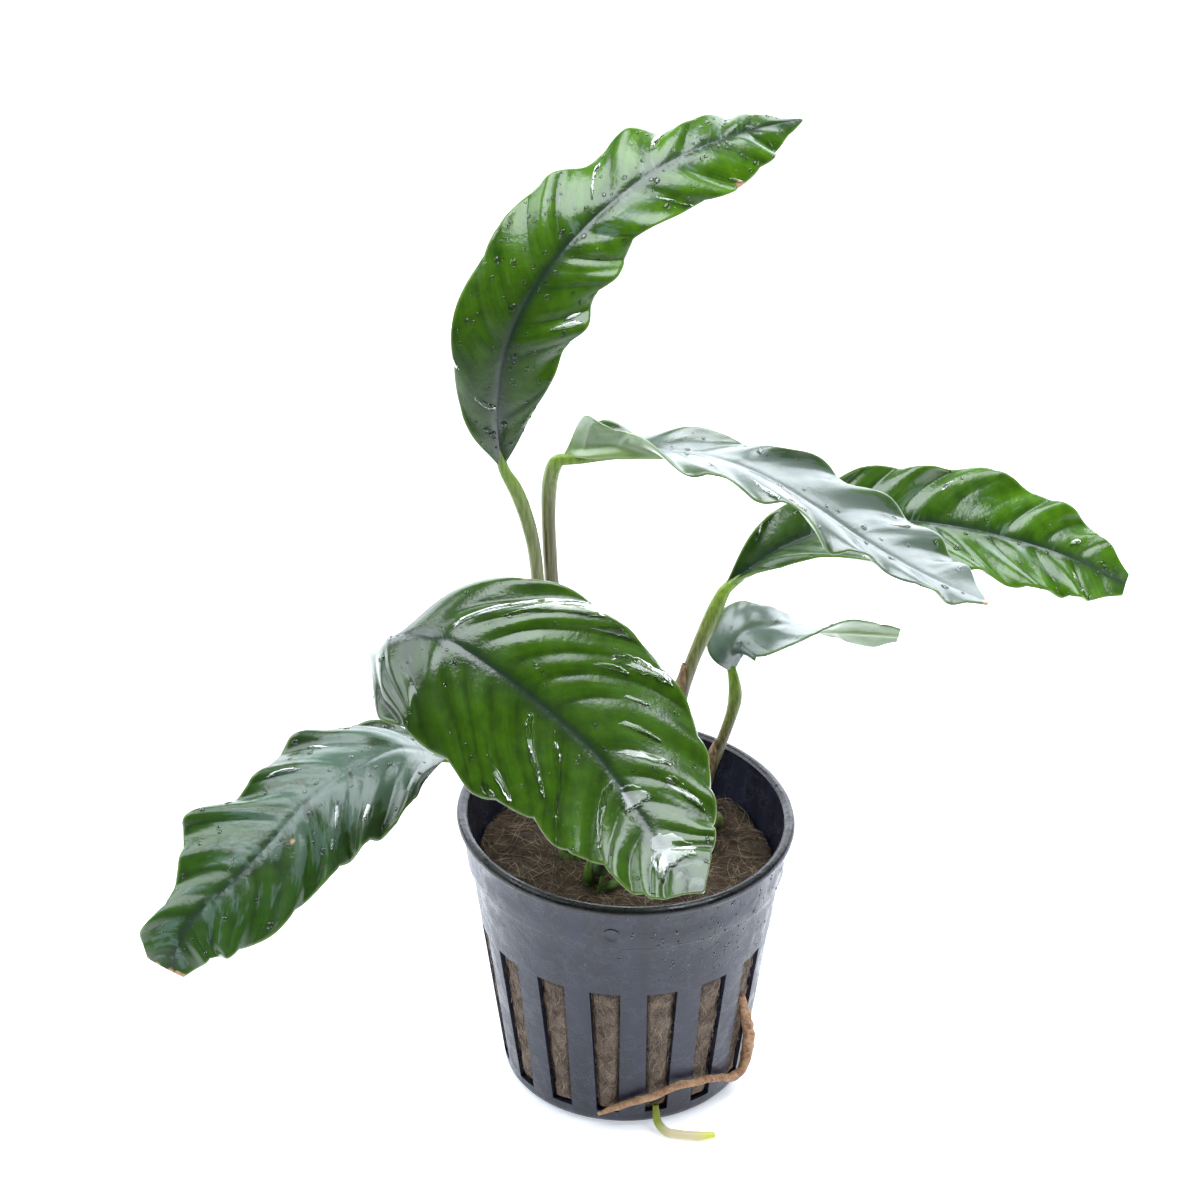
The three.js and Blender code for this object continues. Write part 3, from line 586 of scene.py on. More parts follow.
def leaf_material(name, look):
    """Wet leaf: bright between the veins, dark along them, pale underneath, with a thin light margin.

    Ragged greyish patches paint the sheen of a water film over it, and a dark green tint paints shade.
    """
    shader = Shader(name)
    across, outward = shader.layer("across"), shader.layer("outward")
    veinwise = shader.combine(across, shader.math("MULTIPLY", outward, 0.12))
    blotchwise = shader.combine(across, shader.math("MULTIPLY", outward, 0.4))
    streaks = shader.noise(0.9, detail=3, roughness=0.6, vector=veinwise)
    blotches = shader.noise(2.6, detail=5, roughness=0.6, vector=blotchwise)
    mottle = shader.noise(2.2, detail=4)
    tone = shader.math("MULTIPLY", shader.layer("between"), 0.3)
    tone = shader.math("ADD", tone, shader.range(streaks, 0.3, 0.7, 0, 0.25))
    tone = shader.math("ADD", tone, shader.range(mottle, 0.3, 0.7, -0.1, 0.3))
    colour = shader.mottled(tone, look["dark"], look["bright"], 0.1, 0.95)
    colour = shader.tint(colour, "vein", 0.15, VEIN_GREEN)
    # Painted shade: a deep green darkens the blade where it lies in shade, most near its base
    colour = shader.tint(colour, "painted_shade", 1, PAINTED_SHADE_GREEN)
    colour = shader.tint(colour, "shade", 0.55, VEIN_GREEN)
    colour = shader.tint(colour, "rib", 0.7, RIB_GREEN)
    colour = shader.tint(colour, "margin", 0.55, MARGIN_GREEN)
    # Painted reflection: ragged patches of the water film are painted a greyish tone for their sheen
    painted_sheen_mask = shader.range(shader.math("ADD", blotches, shader.layer("film")), 0.97, 1.04, 0, 0.8)
    colour = shader.mix(painted_sheen_mask, colour, srgb(*look["painted_sheen_tone"]))
    colour = shader.tint(colour, "scar", 1, SCAR_TAN)
    under = shader.mottled(mottle, (112, 142, 88), (134, 162, 108))
    under = shader.tint(under, "vein", 0.35, srgb(130, 160, 80))
    under = shader.tint(under, "rib", 0.6, srgb(150, 180, 90))
    colour = shader.mix(shader.layer("under"), colour, under)
    fine = shader.bump(shader.noise(0.35, detail=2), 0.02)
    gloss = shader.range(shader.noise(6, detail=2), 0.4, 0.65, look["gloss"], look["gloss"] + 0.16)
    shader.set(Base_Color=colour, Roughness=gloss, Normal=shader.bump(streaks, 0.05, fine))
    wet = shader.bump(shader.noise(0.8, detail=4, roughness=0.6), 0.07)
    shader.put(shader.surface.inputs["Coat Normal"], wet)
    shader.surface.inputs["Specular IOR Level"].default_value = look["veil"]
    shader.surface.inputs["Coat Weight"].default_value = 1.0
    shader.surface.inputs["Coat Roughness"].default_value = look["film_gloss"]
    shader.surface.inputs["Coat IOR"].default_value = 1.45
    return shader.material


def stalk_material():
    """Stalk: yellow-green at the top, browner and finely striped lower down."""
    shader = Shader("stalk")
    stripes = shader.noise(1, detail=3, vector=shader.stretched(2200, 2200, 120))
    low = shader.mottled(stripes, (92, 84, 50), (128, 120, 78), 0.4, 0.6)
    high = shader.mottled(stripes, (106, 138, 36), (140, 170, 62))
    colour = shader.mix(shader.range(shader.layer("along"), 0.5, 0.95), low, high)
    shader.set(Base_Color=colour, Roughness=0.28, Normal=shader.bump(stripes, 0.05))
    return shader.material


def rhizome_material():
    shader = Shader("rhizome")
    rings = shader.noise(1.2, detail=4)
    colour = shader.mottled(rings, (70, 82, 40), (120, 135, 70))
    shader.set(Base_Color=colour, Roughness=0.45, Normal=shader.bump(rings, 0.2))
    return shader.material


def sheath_material():
    shader = Shader("sheath")
    fibres = shader.noise(1, detail=4, vector=shader.stretched(2500, 2500, 260))
    colour = shader.mottled(fibres, (84, 62, 44), (160, 128, 92))
    shader.set(Base_Color=colour, Roughness=0.6, Normal=shader.bump(fibres, 0.08))
    return shader.material


def pot_material():
    """Thin dark blue-grey plastic: faint flow marks, scuffs, the uneven gloss of a drying water film, and a
    rim bead painted near-black as painted shade.
    """
    shader = Shader("pot_plastic")
    flow = shader.noise(1, detail=3, vector=shader.stretched(260, 260, 40))
    scuff = shader.noise(0.8, detail=5, roughness=0.7)
    film = shader.noise(4, detail=4, roughness=0.55)
    edge = shader.math("MULTIPLY", shader.range(film, 0.5, 0.53), shader.range(film, 0.6, 0.54))
    colour = shader.mottled(flow, (24, 26, 40), (35, 38, 57))
    colour = shader.mix(shader.range(film, 0.52, 0.56, 0, 0.35), colour, srgb(23, 25, 35))
    colour = shader.mix(shader.math("MULTIPLY", edge, 0.2), colour, srgb(72, 76, 94))
    # Painted shade: the top of the rim bead is painted near-black, standing for the dark ceiling it reflects
    colour = shader.mix(shader.range(shader.axis("Z"), 0.0472, 0.0478), colour, srgb(20, 20, 23))
    gloss = shader.range(scuff, 0.4, 0.7, 0.3, 0.42)
    shader.set(
        Base_Color=colour,
        Roughness=shader.math("SUBTRACT", gloss, shader.range(film, 0.52, 0.56, 0, 0.14)),
        Normal=shader.bump(scuff, 0.05, shader.bump(flow, 0.05, shader.bump(film, 0.25))),
    )
    return shader.material


def wool_material():
    shader = Shader("rock_wool")
    tufts = shader.noise(2.5, detail=4)
    hairs = shader.noise(0.25, detail=4, roughness=0.7)
    colour = shader.mottled(tufts, (84, 70, 60), (136, 118, 102))
    colour = shader.mix(shader.range(hairs, 0.42, 0.3, 0, 0.7), colour, srgb(44, 34, 26))
    colour = shader.mix(shader.range(hairs, 0.5, 0.7, 0, 0.8), colour, srgb(190, 172, 152))
    # Painted shade: the top of the wool is a darker copy, partly wetter wool and partly the shade under the
    # collar and the leaves
    moist_and_shaded = shader.mottled(tufts, (48, 37, 26), (84, 67, 48))
    moist_and_shaded = shader.mix(shader.range(hairs, 0.42, 0.3, 0, 0.7), moist_and_shaded, srgb(26, 18, 12))
    moist_and_shaded = shader.mix(shader.range(hairs, 0.5, 0.7, 0, 0.6), moist_and_shaded, srgb(128, 108, 84))
    top = shader.range(shader.axis("Z"), 0.0385, 0.039)
    shader.set(Base_Color=shader.mix(top, colour, moist_and_shaded), Roughness=0.9, Normal=shader.bump(hairs, 0.35))
    return shader.material


def fibre_material(name, dark, light):
    shader = Shader(name)
    tone = shader.noise(3, detail=2)
    shader.set(Base_Color=shader.mottled(tone, dark, light), Roughness=0.75)
    return shader.material


def old_root_material():
    shader = Shader("old_root")
    rough = shader.noise(0.6, detail=4, roughness=0.65)
    wide = shader.noise(3, detail=2)
    colour = shader.mottled(rough, (120, 82, 54), (188, 146, 108))
    colour = shader.mix(shader.range(wide, 0.5, 0.7, 0, 0.6), colour, srgb(205, 170, 130))
    shader.set(Base_Color=colour, Roughness=0.7, Normal=shader.bump(rough, 0.15))
    return shader.material


def new_root_material():
    """Fresh root: green where it leaves the pot, cream along it, yellow-green at the tip."""
    shader = Shader("new_root")
    along = shader.layer("along")
    fuzz = shader.noise(0.3, detail=3)
    colour = shader.mottled(along, (140, 150, 45), (222, 208, 165), 0.2, 0.5)
    colour = shader.mix(shader.range(along, 0.75, 0.92), colour, srgb(214, 218, 90))
    shader.set(Base_Color=colour, Roughness=0.5, Normal=shader.bump(fuzz, 0.04))
    return shader.material


def water_material():
    shader = Shader("droplet")
    shader.set(Base_Color=(1.0, 1.0, 1.0), Roughness=0.02, IOR=1.45)
    shader.surface.inputs["Transmission Weight"].default_value = 1.0
    return shader.material


# Leaf blades

def leaf_frame(leaf, t):
    """The midrib's point at t, and the ways along it, to its left and up from the leaf's upper side."""
    t = np.clip(t, 0, 1)
    step = 1e-3
    along = unit(smooth_curve(leaf["rib"], np.minimum(t + step, 1)) - smooth_curve(leaf["rib"], t - step))
    left = unit(np.cross(smooth_curve(leaf["face"], t), along))
    return smooth_curve(leaf["rib"], t), along, left, np.cross(along, left)


def swept(leaf, s, u, width):
    """Lines of equal value run along the side veins, which bend towards the tip on their way out."""
    return s - leaf["lean"] * width * np.abs(u) ** 1.7 / curve_length(leaf["rib"])


def vein_phase(leaf, s, u, width):
    """Counts the side veins passed on the way to the tip; their spacing is a little uneven."""
    along = swept(leaf, s, u, width)
    turns = along + np.where(u < 0, 0.37, 0)
    uneven = 0.018 * np.sin(2 * np.pi * (2.3 * turns + 0.2)) + 0.01 * np.sin(2 * np.pi * (5.1 * turns + 0.6))
    return leaf["veins"] * (along + uneven) + np.where(u < 0, 1 / 3, 0)


def wave_phase(leaf, s, u, width):
    """Counts the broad waves passed on the way to the tip."""
    return leaf["waves"] * swept(leaf, s, u, width) + np.where(u < 0, 0.4, 0)


def half_width(leaf, s, u):
    """Half width of the blade on u's side, with a lobe at the margin for each wave."""
    width = np.where(u >= 0, smooth_values(leaf["left"], s), smooth_values(leaf["right"], s))
    side = np.where(u >= 0, 1.0, -1.0)
    lobes = np.abs(np.sin(np.pi * wave_phase(leaf, s, side, width))) ** 0.7 - 0.73
    return np.maximum(width + LOBE_DEPTH * lobes * fade(s / 0.15) * fade((1 - s) / 0.1), 0.2)


def leaf_surface(leaf, s, u, detail=True):
    """A point of the leaf's middle surface: s from base to tip, u from -1 (right margin) to 1 (left)."""
    s, u = np.broadcast_arrays(np.asarray(s, float), np.asarray(u, float))
    out = np.abs(u)
    length = curve_length(leaf["rib"])

    def half(name):
        left, right = leaf[f"{name}_left"], leaf[f"{name}_right"]
        return np.where(u >= 0, smooth_values(left, s), smooth_values(right, s))

    width = half_width(leaf, s, u)
    sweep = VEIN_SWEEP * fade(s / leaf["broad_base"]) * np.minimum(1, (1 - s) / 0.15)
    t = s + sweep * width * out**1.5 / length
    point, _, left_way, up = leaf_frame(leaf, t)
    fold = np.radians(half("fold"))
    curl = np.radians(half("curl") * out)
    ends = fade(s / 0.12) * fade((1 - s) / 0.15)
    phase = vein_phase(leaf, s, u, width)
    pillow = np.abs(np.sin(np.pi * phase)) ** 1.1 - 0.6
    pillow = pillow * smooth_values(leaf["pillow"], s) * fade(out / 0.35)
    wave = leaf["ruffle"] * np.sin(2 * np.pi * wave_phase(leaf, s, u, width)) * out**2
    if detail:
        flat = np.stack([u * width, s * length, np.zeros_like(s)], -1)
        veinwise = np.stack([phase * length / leaf["veins"], 0.28 * u * width, np.zeros_like(s)], -1)
        pillow = pillow * (1 + relief(flat, UNEVEN_PILLOWS))
        pillow = pillow + relief(veinwise, STREAKS) * fade((out - 0.05) / 0.25)
        pillow = pillow + relief(flat, DIMPLES) * fade(out / 0.3)
    rise = (pillow + wave) * ends
    sideways = out * width * np.cos(fold + curl / 2) - rise * np.sin(fold + curl)
    upwards = out * width * np.sin(fold + curl / 2) + rise * np.cos(fold + curl)
    return point + (np.sign(u) * sideways)[..., None] * left_way + upwards[..., None] * up


def blade_layers(leaf, s, u):
    """How near each point is to the midrib, a side vein and the margin, and what the materials read."""
    length = curve_length(leaf["rib"])
    width = half_width(leaf, s, u)
    aside = np.abs(u) * width
    phase = vein_phase(leaf, s, u, width)
    from_vein = np.abs(phase - np.round(phase)) * length / leaf["veins"]
    return {
        "rib": np.exp(-(aside / (1.0 - 0.6 * s)) ** 2),
        "shade": np.exp(-aside / 2.5),
        # How far the painted shade darkens the blade, from base to tip
        "painted_shade": smooth_values(leaf["painted_shade"], s),
        "vein": np.exp(-(from_vein / 0.25) ** 2) * fade(aside / 1.5),
        "between": np.abs(np.sin(np.pi * phase)) ** 0.8 * fade(aside / 3),
        "margin": fade(1 - (width - aside) / 0.5),
        # Where the greyish painted sheen of the water film lies, less of it near the margins
        "film": smooth_values(leaf["film"], s) - 0.35 * fade((np.abs(u) - 0.55) / 0.45),
        "across": phase * length / leaf["veins"],
        "outward": aside * np.sign(u),
        "aside": aside,
        "width": width,
    }


def scars(leaf, s, u):
    """Tan scars: each is its place s, u and its radius in mm."""
    flat = np.stack([s * curve_length(leaf["rib"]), u * half_width(leaf, s, u)], -1)
    shown = np.zeros(s.shape)
    for at_s, at_u, radius in leaf["scars"]:
        at_width = half_width(leaf, np.array(at_s), np.array(at_u))
        centre = np.array([at_s * curve_length(leaf["rib"]), at_u * at_width])
        away = np.linalg.norm(flat - centre, axis=-1) + 0.3 * cloud(np.dstack([flat, 0 * s]), 0.7, 31)
        shown = np.maximum(shown, fade((radius - away) / 0.3 + 0.5))
    return shown


def rim_edge(rows, columns):
    """Indices of the points round the edge of a grid, in order."""
    return np.concatenate([
        np.arange(columns - 1),
        np.arange(rows - 1) * columns + columns - 1,
        np.arange(columns - 1, 0, -1) + (rows - 1) * columns,
        np.arange(rows - 1, 0, -1) * columns,
    ])


def two_sided(upper, lower):
    """(points, faces) of a closed sheet from its upper and lower grids."""
    rows, columns = upper.shape[:2]
    count = rows * columns
    edge = rim_edge(rows, columns)
    after = np.roll(edge, -1)
    strip = np.stack([edge, edge + count, after + count, after], -1)[:, ::-1]
    faces = np.vstack([grid_faces(rows, columns, flip=True), grid_faces(rows, columns, start=count), strip])
    return np.vstack([upper.reshape(-1, 3), lower.reshape(-1, 3)]), faces


def grid_normal(middle):
    return unit(np.cross(np.gradient(middle, axis=0), np.gradient(middle, axis=1)))


def leaf_blade(name, leaf, material):
    """The blade, with a rounded margin, a groove along the midrib, and the midrib and veins below."""
    s = np.linspace(0, 1, BLADE_ROWS)[:, None]
    spread = np.linspace(-1, 1, BLADE_COLUMNS)[None, :]
    s, u = np.broadcast_arrays(s, np.sign(spread) * np.abs(spread) ** 1.15)
    middle = leaf_surface(leaf, s, u)
    normal = grid_normal(middle)
    layers = blade_layers(leaf, s, u)
    rim = np.clip(1 - (layers["width"] - layers["aside"]) / MARGIN_ROUNDING, 0, 0.95)
    half_thickness = BLADE_THICKNESS / 2 * np.sqrt(1 - rim**2)
    aside = layers["aside"]
    groove = GROOVE_DEPTH * np.exp(-(aside / 0.7) ** 2) * fade((1 - s) / 0.2)
    rib_depth = fade(s / 0.08) * (RIB_DEPTH * (1 - s) + 0.15) * np.exp(-(aside / (0.9 - 0.5 * s)) ** 2)
    veins_below = UNDER_VEIN_DEPTH * layers["vein"] * (1 - s)
    upper = middle + normal * (half_thickness - groove)[..., None]
    lower = middle - normal * (half_thickness + rib_depth + veins_below)[..., None]
    points, faces = two_sided(upper, lower)
    shown = ("rib", "shade", "painted_shade", "vein", "between", "margin", "film", "across", "outward")
    per_point = {key: np.concatenate([layers[key].ravel()] * 2) for key in shown}
    per_point["under"] = np.repeat([0.0, 1.0], s.size)
    per_point["scar"] = np.concatenate([scars(leaf, s, u).ravel()] * 2)
    return mesh_object(
        f"{name}_blade_look", points, faces, material,
        replaced=(f"{name}_blade",), layers=per_point,
    )


def leaf_stalk(name, leaf, material):
    """The stalk runs on a little way under the blade, so that it flows into the midrib."""
    path = leaf["stalk"]
    t = np.linspace(0, 1, STALK_STEPS)
    run = leaf["rib_run"]
    along_rib = round(run * STALK_ROWS_PER_RIB)
    rib_t = np.linspace(0.01, run, along_rib)
    rib, _, _, up = leaf_frame(leaf, rib_t)
    under = rib - up * (0.45 + 0.3 * rib_t / run)[:, None]
    centre = np.vstack([smooth_curve(path, t), under])
    radii = np.concatenate([smooth_values(STALK_SWELL, t), np.linspace(0.8, 0.3, along_rib)])
    radii *= leaf["stalk_radius"]
    for _ in range(STALK_SMOOTHING):
        centre[1:-1] = (centre[:-2] + 2 * centre[1:-1] + centre[2:]) / 4
        radii[1:-1] = (radii[:-2] + 2 * radii[1:-1] + radii[2:]) / 4
    wander = 1 + 0.04 * cloud(centre, 3, 11)
    points, faces = tube(centre, radii * wander, STALK_SIDES)
    share = np.concatenate([t, np.ones(along_rib)])
    along = np.concatenate([np.repeat(share, STALK_SIDES), [0, 1]])
    return mesh_object(
        f"{name}_stalk_look", points, faces, material,
        replaced=(f"{name}_stalk",), layers={"along": along},
    )


def rod(name, shape, material, replaced, sides=18, steps=120, lumps=0.06, lump_size=1.5):
    """A root or shoot: a tapering tube with small lumps."""
    t = np.linspace(0, 1, steps)
    centre = smooth_curve(shape["path"], t)
    points, faces = tube(centre, smooth_values(shape["radii"], t), sides)
    middle = np.vstack([np.repeat(centre, sides, axis=0), centre[:1], centre[-1:]])
    points = middle + (points - middle) * (1 + lumps * cloud(points, lump_size, 17))[:, None]
    along = np.concatenate([np.repeat(t, sides), [0, 1]])
    hidden = (replaced,) if replaced else ()
    return mesh_object(name, points, faces, material, replaced=hidden, layers={"along": along})


def sheath(name, shape, material):
    rows, columns = 60, 24
    flat = [0, 0]
    leaf = dict(
        rib=shape["rib"], face=shape["face"], left=shape["width"], right=shape["width"],
        fold_left=flat, fold_right=flat, curl_left=[SHEATH_CURL] * 2, curl_right=[SHEATH_CURL] * 2,
        veins=1, lean=0, pillow=[0, 0], waves=1, ruffle=0, broad_base=0.01, scars=[],
    )
    s, u = np.broadcast_arrays(np.linspace(0, 1, rows)[:, None], np.linspace(-1, 1, columns)[None, :])
    middle = leaf_surface(leaf, s, u, detail=False)
    middle = middle + grid_normal(middle) * relief(middle * (1, 1, 0.25), SHEATH_WRINKLES)[..., None]
    normal = grid_normal(middle)
    points, faces = two_sided(middle + normal * SHEATH_THICKNESS / 2, middle - normal * SHEATH_THICKNESS / 2)
    return mesh_object(f"{name}_look", points, faces, material, replaced=(name,))


# Pot and rock wool

def wall_radius(z):
    """Outer radius of the tapered wall at height z."""
    share = (np.asarray(z, float) - WALL_BOTTOM_Z) / (COLLAR_BOTTOM_Z - WALL_BOTTOM_Z)
    return WALL_BOTTOM_RADIUS + (WALL_TOP_RADIUS - WALL_BOTTOM_RADIUS) * share


def collar_radius(z):
    return COLLAR_BOTTOM_RADIUS + (z - COLLAR_BOTTOM_Z) * COLLAR_SLOPE


def lean(points):
    """The thin pot stands a little out of true."""
    points = np.array(points, float)
    points[..., 2] *= 1 - RIM_TILT * points[..., 0]
    return points


def pot_grid(profile):
    """Rows of points up the pot's wall, in columns that follow the edges of the slots."""
    sector = np.pi / SLOT_COUNT
    rows = []
    for radius, z in profile:
        half = sector - BAR_WIDTH / 2 / wall_radius(np.clip(z, SLOT_BOTTOM_Z, SLOT_TOP_Z))
        slot = np.linspace(-half, half, SLOT_COLUMNS + 1)[:-1]
        bar = np.linspace(half, 2 * sector - half, BAR_COLUMNS + 1)[:-1]
        one = np.concatenate([slot, bar])
        angles = (one[None, :] + 2 * sector * np.arange(SLOT_COUNT)[:, None]).ravel() + SLOT_PHASE
        rows.append(round_pot(radius, angles, z))
    return np.array(rows)


def pot(material):
    """Wall with slots, collar, round bead and floor."""
    corner = BOTTOM_CORNER
    flat = WALL_BOTTOM_RADIUS - corner
    bead_r, bead_z = RIM_RADIUS - BEAD_RADIUS, POT_HEIGHT - BEAD_RADIUS
    bend = [(flat + corner * math.sin(a), corner - corner * math.cos(a))
            for a in np.radians([15, 30, 45, 60, 75])]
    slot_rows = np.linspace(SLOT_BOTTOM_Z, SLOT_TOP_Z, SLOT_ROWS)
    bead = [(bead_r + BEAD_RADIUS * math.cos(a), bead_z + BEAD_RADIUS * math.sin(a))
            for a in np.radians([-80, -55, -30, 0, 30, 60, 90, 120, 150])]
    outer = [(0.01, 0), (flat * 0.5, 0), (flat, 0), *bend, (WALL_BOTTOM_RADIUS, WALL_BOTTOM_Z)]
    outer += [(float(wall_radius(z)), z) for z in slot_rows]
    outer += [(float(wall_radius(z)), z) for z in (30.2, 33, 37, 39.6)]
    outer += [(WALL_TOP_RADIUS + 0.1, COLLAR_BOTTOM_Z - 0.05),
              (COLLAR_BOTTOM_RADIUS - 0.1, COLLAR_BOTTOM_Z + 0.3),
              (COLLAR_BOTTOM_RADIUS, COLLAR_BOTTOM_Z + 0.5), (COLLAR_TOP_RADIUS - 0.3, COLLAR_FLARE_Z),
              (COLLAR_TOP_RADIUS, POT_HEIGHT - RIM_BAND), *bead]
    inner = [(COLLAR_TOP_RADIUS - WALL, POT_HEIGHT - RIM_BAND), (WALL_TOP_RADIUS - WALL, COLLAR_BOTTOM_Z)]
    inner += [(float(wall_radius(z)) - WALL, z) for z in (36, 32)]
    inner += [(float(wall_radius(z)) - WALL, z) for z in slot_rows[::-1]]
    inner += [(flat - 0.4, FLOOR), (flat * 0.5, FLOOR), (0.01, FLOOR)]
    grid = pot_grid(outer + inner)
    rows, columns = grid.shape[:2]
    first_slot = 3 + len(bend) + 1
    last_slot = first_slot + len(slot_rows) - 1
    inner_last = len(outer) + 4
    inner_first = inner_last + len(slot_rows) - 1
    period = SLOT_COLUMNS + BAR_COLUMNS
    faces = []
    for row in range(rows - 1):
        in_slot_rows = first_slot <= row < last_slot or inner_last <= row < inner_first
        for column in range(columns):
            if in_slot_rows and column % period < SLOT_COLUMNS:
                continue
            after = (column + 1) % columns
            faces.append([row * columns + column, row * columns + after,
                          (row + 1) * columns + after, (row + 1) * columns + column])
    for k in range(len(slot_rows) - 1):
        for sector in range(SLOT_COUNT):
            left = sector * period
            right = left + SLOT_COLUMNS
            o, i = (first_slot + k) * columns, (inner_first - k) * columns
            o2, i2 = o + columns, i - columns
            faces.append([o + left, o2 + left, i2 + left, i + left])
            faces.append([o + right, i + right, i2 + right, o2 + right])
    for sector in range(SLOT_COUNT):
        for step in range(SLOT_COLUMNS):
            a = sector * period + step
            low_o, low_i = first_slot * columns, inner_first * columns
            top_o, top_i = last_slot * columns, inner_last * columns
            faces.append([low_o + a, low_i + a, low_i + a + 1, low_o + a + 1])
            faces.append([top_o + a, top_o + a + 1, top_i + a + 1, top_i + a])
    points = lean(grid.reshape(-1, 3))
    return mesh_object(
        "net_pot_look", points, faces, material,
        replaced=("net_pot",), crease=POT_CREASE,
    )


def gate_mark(material):
    """The small round mark left on the collar where the plastic was poured into its mould."""
    turn = np.linspace(0, 2 * np.pi, MARK_SIDES, endpoint=False)
    rows = []
    for radius, height in MARK_RINGS:
        z = MARK_Z + radius * np.sin(turn)
        angle = math.radians(MARK_ANGLE) + radius * np.cos(turn) / COLLAR_BOTTOM_RADIUS
        rows.append(round_pot(collar_radius(z) + height, angle, z))
    points = lean(np.array(rows).reshape(-1, 3))
    faces = grid_faces(len(MARK_RINGS), MARK_SIDES, closed=True)
    return mesh_object("gate_mark", points, faces, material)


def pot_drops(material):
    """Small drops that cling to the collar and the upper wall."""
    dice = np.random.default_rng(21)
    shape, shape_faces = drop_shape()
    up = np.array([0, 0, 1.0])
    parts = []
    for _ in range(POT_DROPS["count"]):
        z = dice.uniform(POT_DROPS["low"], POT_DROPS["high"])
        angle = math.radians(dice.normal(POT_DROPS["angle"], POT_DROPS["spread"]))
        surface = wall_radius(z) if z < COLLAR_BOTTOM_Z else collar_radius(z)
        out = np.array([math.sin(angle), -math.cos(angle), 0])
        beside = np.array([math.cos(angle), math.sin(angle), 0])
        size = dice.uniform(*POT_DROPS["size"])
        stretch = dice.uniform(*POT_DROPS["stretch"])
        drop = shape[:, :1] * beside + stretch * shape[:, 1:2] * up + 0.5 * shape[:, 2:] * out
        parts.append((out * (surface - 0.04) + z * up + size * drop, shape_faces))
    points, faces = merged(parts)
    return mesh_object("pot_drops", lean(points), faces, material)


def wool_profile():
    """(radius, z) along the plug from the middle of its underside, up the side, to the middle of its top."""
    low = FLOOR + GAP
    side_z = np.linspace(FLOOR + 1.2, WOOL_TOP_Z - 1, WOOL_SIDE_ROWS)
    side = [(plug_radius(z), z) for z in side_z]
    rim = plug_radius(WOOL_TOP_Z)
    bend = [(rim - 0.2, WOOL_TOP_Z - 0.5), (rim - 0.6, WOOL_TOP_Z - 0.2)]
    top = [(r, crown(r)) for r in np.linspace(rim - 1, 0.02, WOOL_TOP_ROWS)]
    return [(0.02, low), (9, low), (plug_radius(WALL_BOTTOM_Z) - 0.6, low), *side, *bend, *top]


def plug_radius(z):
    """Radius of the plug of wool, just inside the wall."""
    return wall_radius(z) - WALL - GAP


def crown(r):
    """Height of the wool's slightly domed top at radius r."""
    return WOOL_TOP_Z + WOOL_CROWN * (1 - (r / WOOL_CROWN_RADIUS) ** 2)


def into_slots(points):
    """How far the wool stands out into the pot's slots at each point of its side."""
    turn = np.arctan2(points[..., 0], -points[..., 1]) - SLOT_PHASE
    sector = 2 * np.pi / SLOT_COUNT
    from_middle = np.abs(turn - sector * np.round(turn / sector))
    r = wall_radius(points[..., 2])
    beside = (sector / 2 - from_middle) * r - BAR_WIDTH / 2
    above = np.minimum(points[..., 2] - SLOT_BOTTOM_Z, SLOT_TOP_Z - points[..., 2])
    return WOOL_IN_SLOT * fade(beside / 0.7) * fade(above / 0.8)


def wool(material):
    angles = np.linspace(0, 2 * np.pi, WOOL_COLUMNS, endpoint=False)
    grid = np.array([round_pot(r, angles, z) for r, z in wool_profile()])
    outward = unit(np.cross(np.gradient(grid, axis=1), np.gradient(grid, axis=0)))
    side = relief(grid, SIDE_LUMPS) + relief(grid * (1, 1, 0.35), SIDE_TUFTS) - SIDE_DEPTH + into_slots(grid)
    top = sum(relief(grid, layer) for layer in TOP_LUMPS)
    lumps = np.where(grid[..., 2] > WOOL_TOP_Z - 0.7, top, side)
    points = lean((grid + outward * lumps[..., None]).reshape(-1, 3))
    faces = grid_faces(*grid.shape[:2], closed=True)
    return mesh_object("rock_wool_look", points, faces, material, replaced=("rock_wool",))


def top_fibres(dice, count):
    """Where fibres on the wool's top start, which ways they run and bend, and their lengths."""
    r = 23.5 * np.sqrt(dice.random(count))
    start = round_pot(r, 2 * np.pi * dice.random(count), WOOL_TOP_Z + 0.5)
    heading = 2 * np.pi * dice.random(count)
    flat = np.zeros(count)
    way = np.stack([np.cos(heading), np.sin(heading), flat], -1)
    bend = np.stack([-np.sin(heading), np.cos(heading), flat], -1)
    return start, way, bend, dice.uniform(2, 9, count)


def side_fibres(dice, count):
    """The same for fibres just inside the slots, which run mostly up and down."""
    up = np.array([0, 0, 1.0])
    z = dice.uniform(3.5, 29, count)
    turn = 2 * np.pi * dice.random(count)
    start = round_pot(plug_radius(z) - 0.1, turn, z)
    level = np.stack([np.cos(turn), np.sin(turn), np.zeros(count)], -1)
    tilt = dice.normal(np.pi / 2, 0.45, count)[:, None]
    way = level * np.cos(tilt) + up * np.sin(tilt)
    bend = level * np.sin(tilt) - up * np.cos(tilt)
    return start, way, bend, dice.uniform(1, 4.5, count)


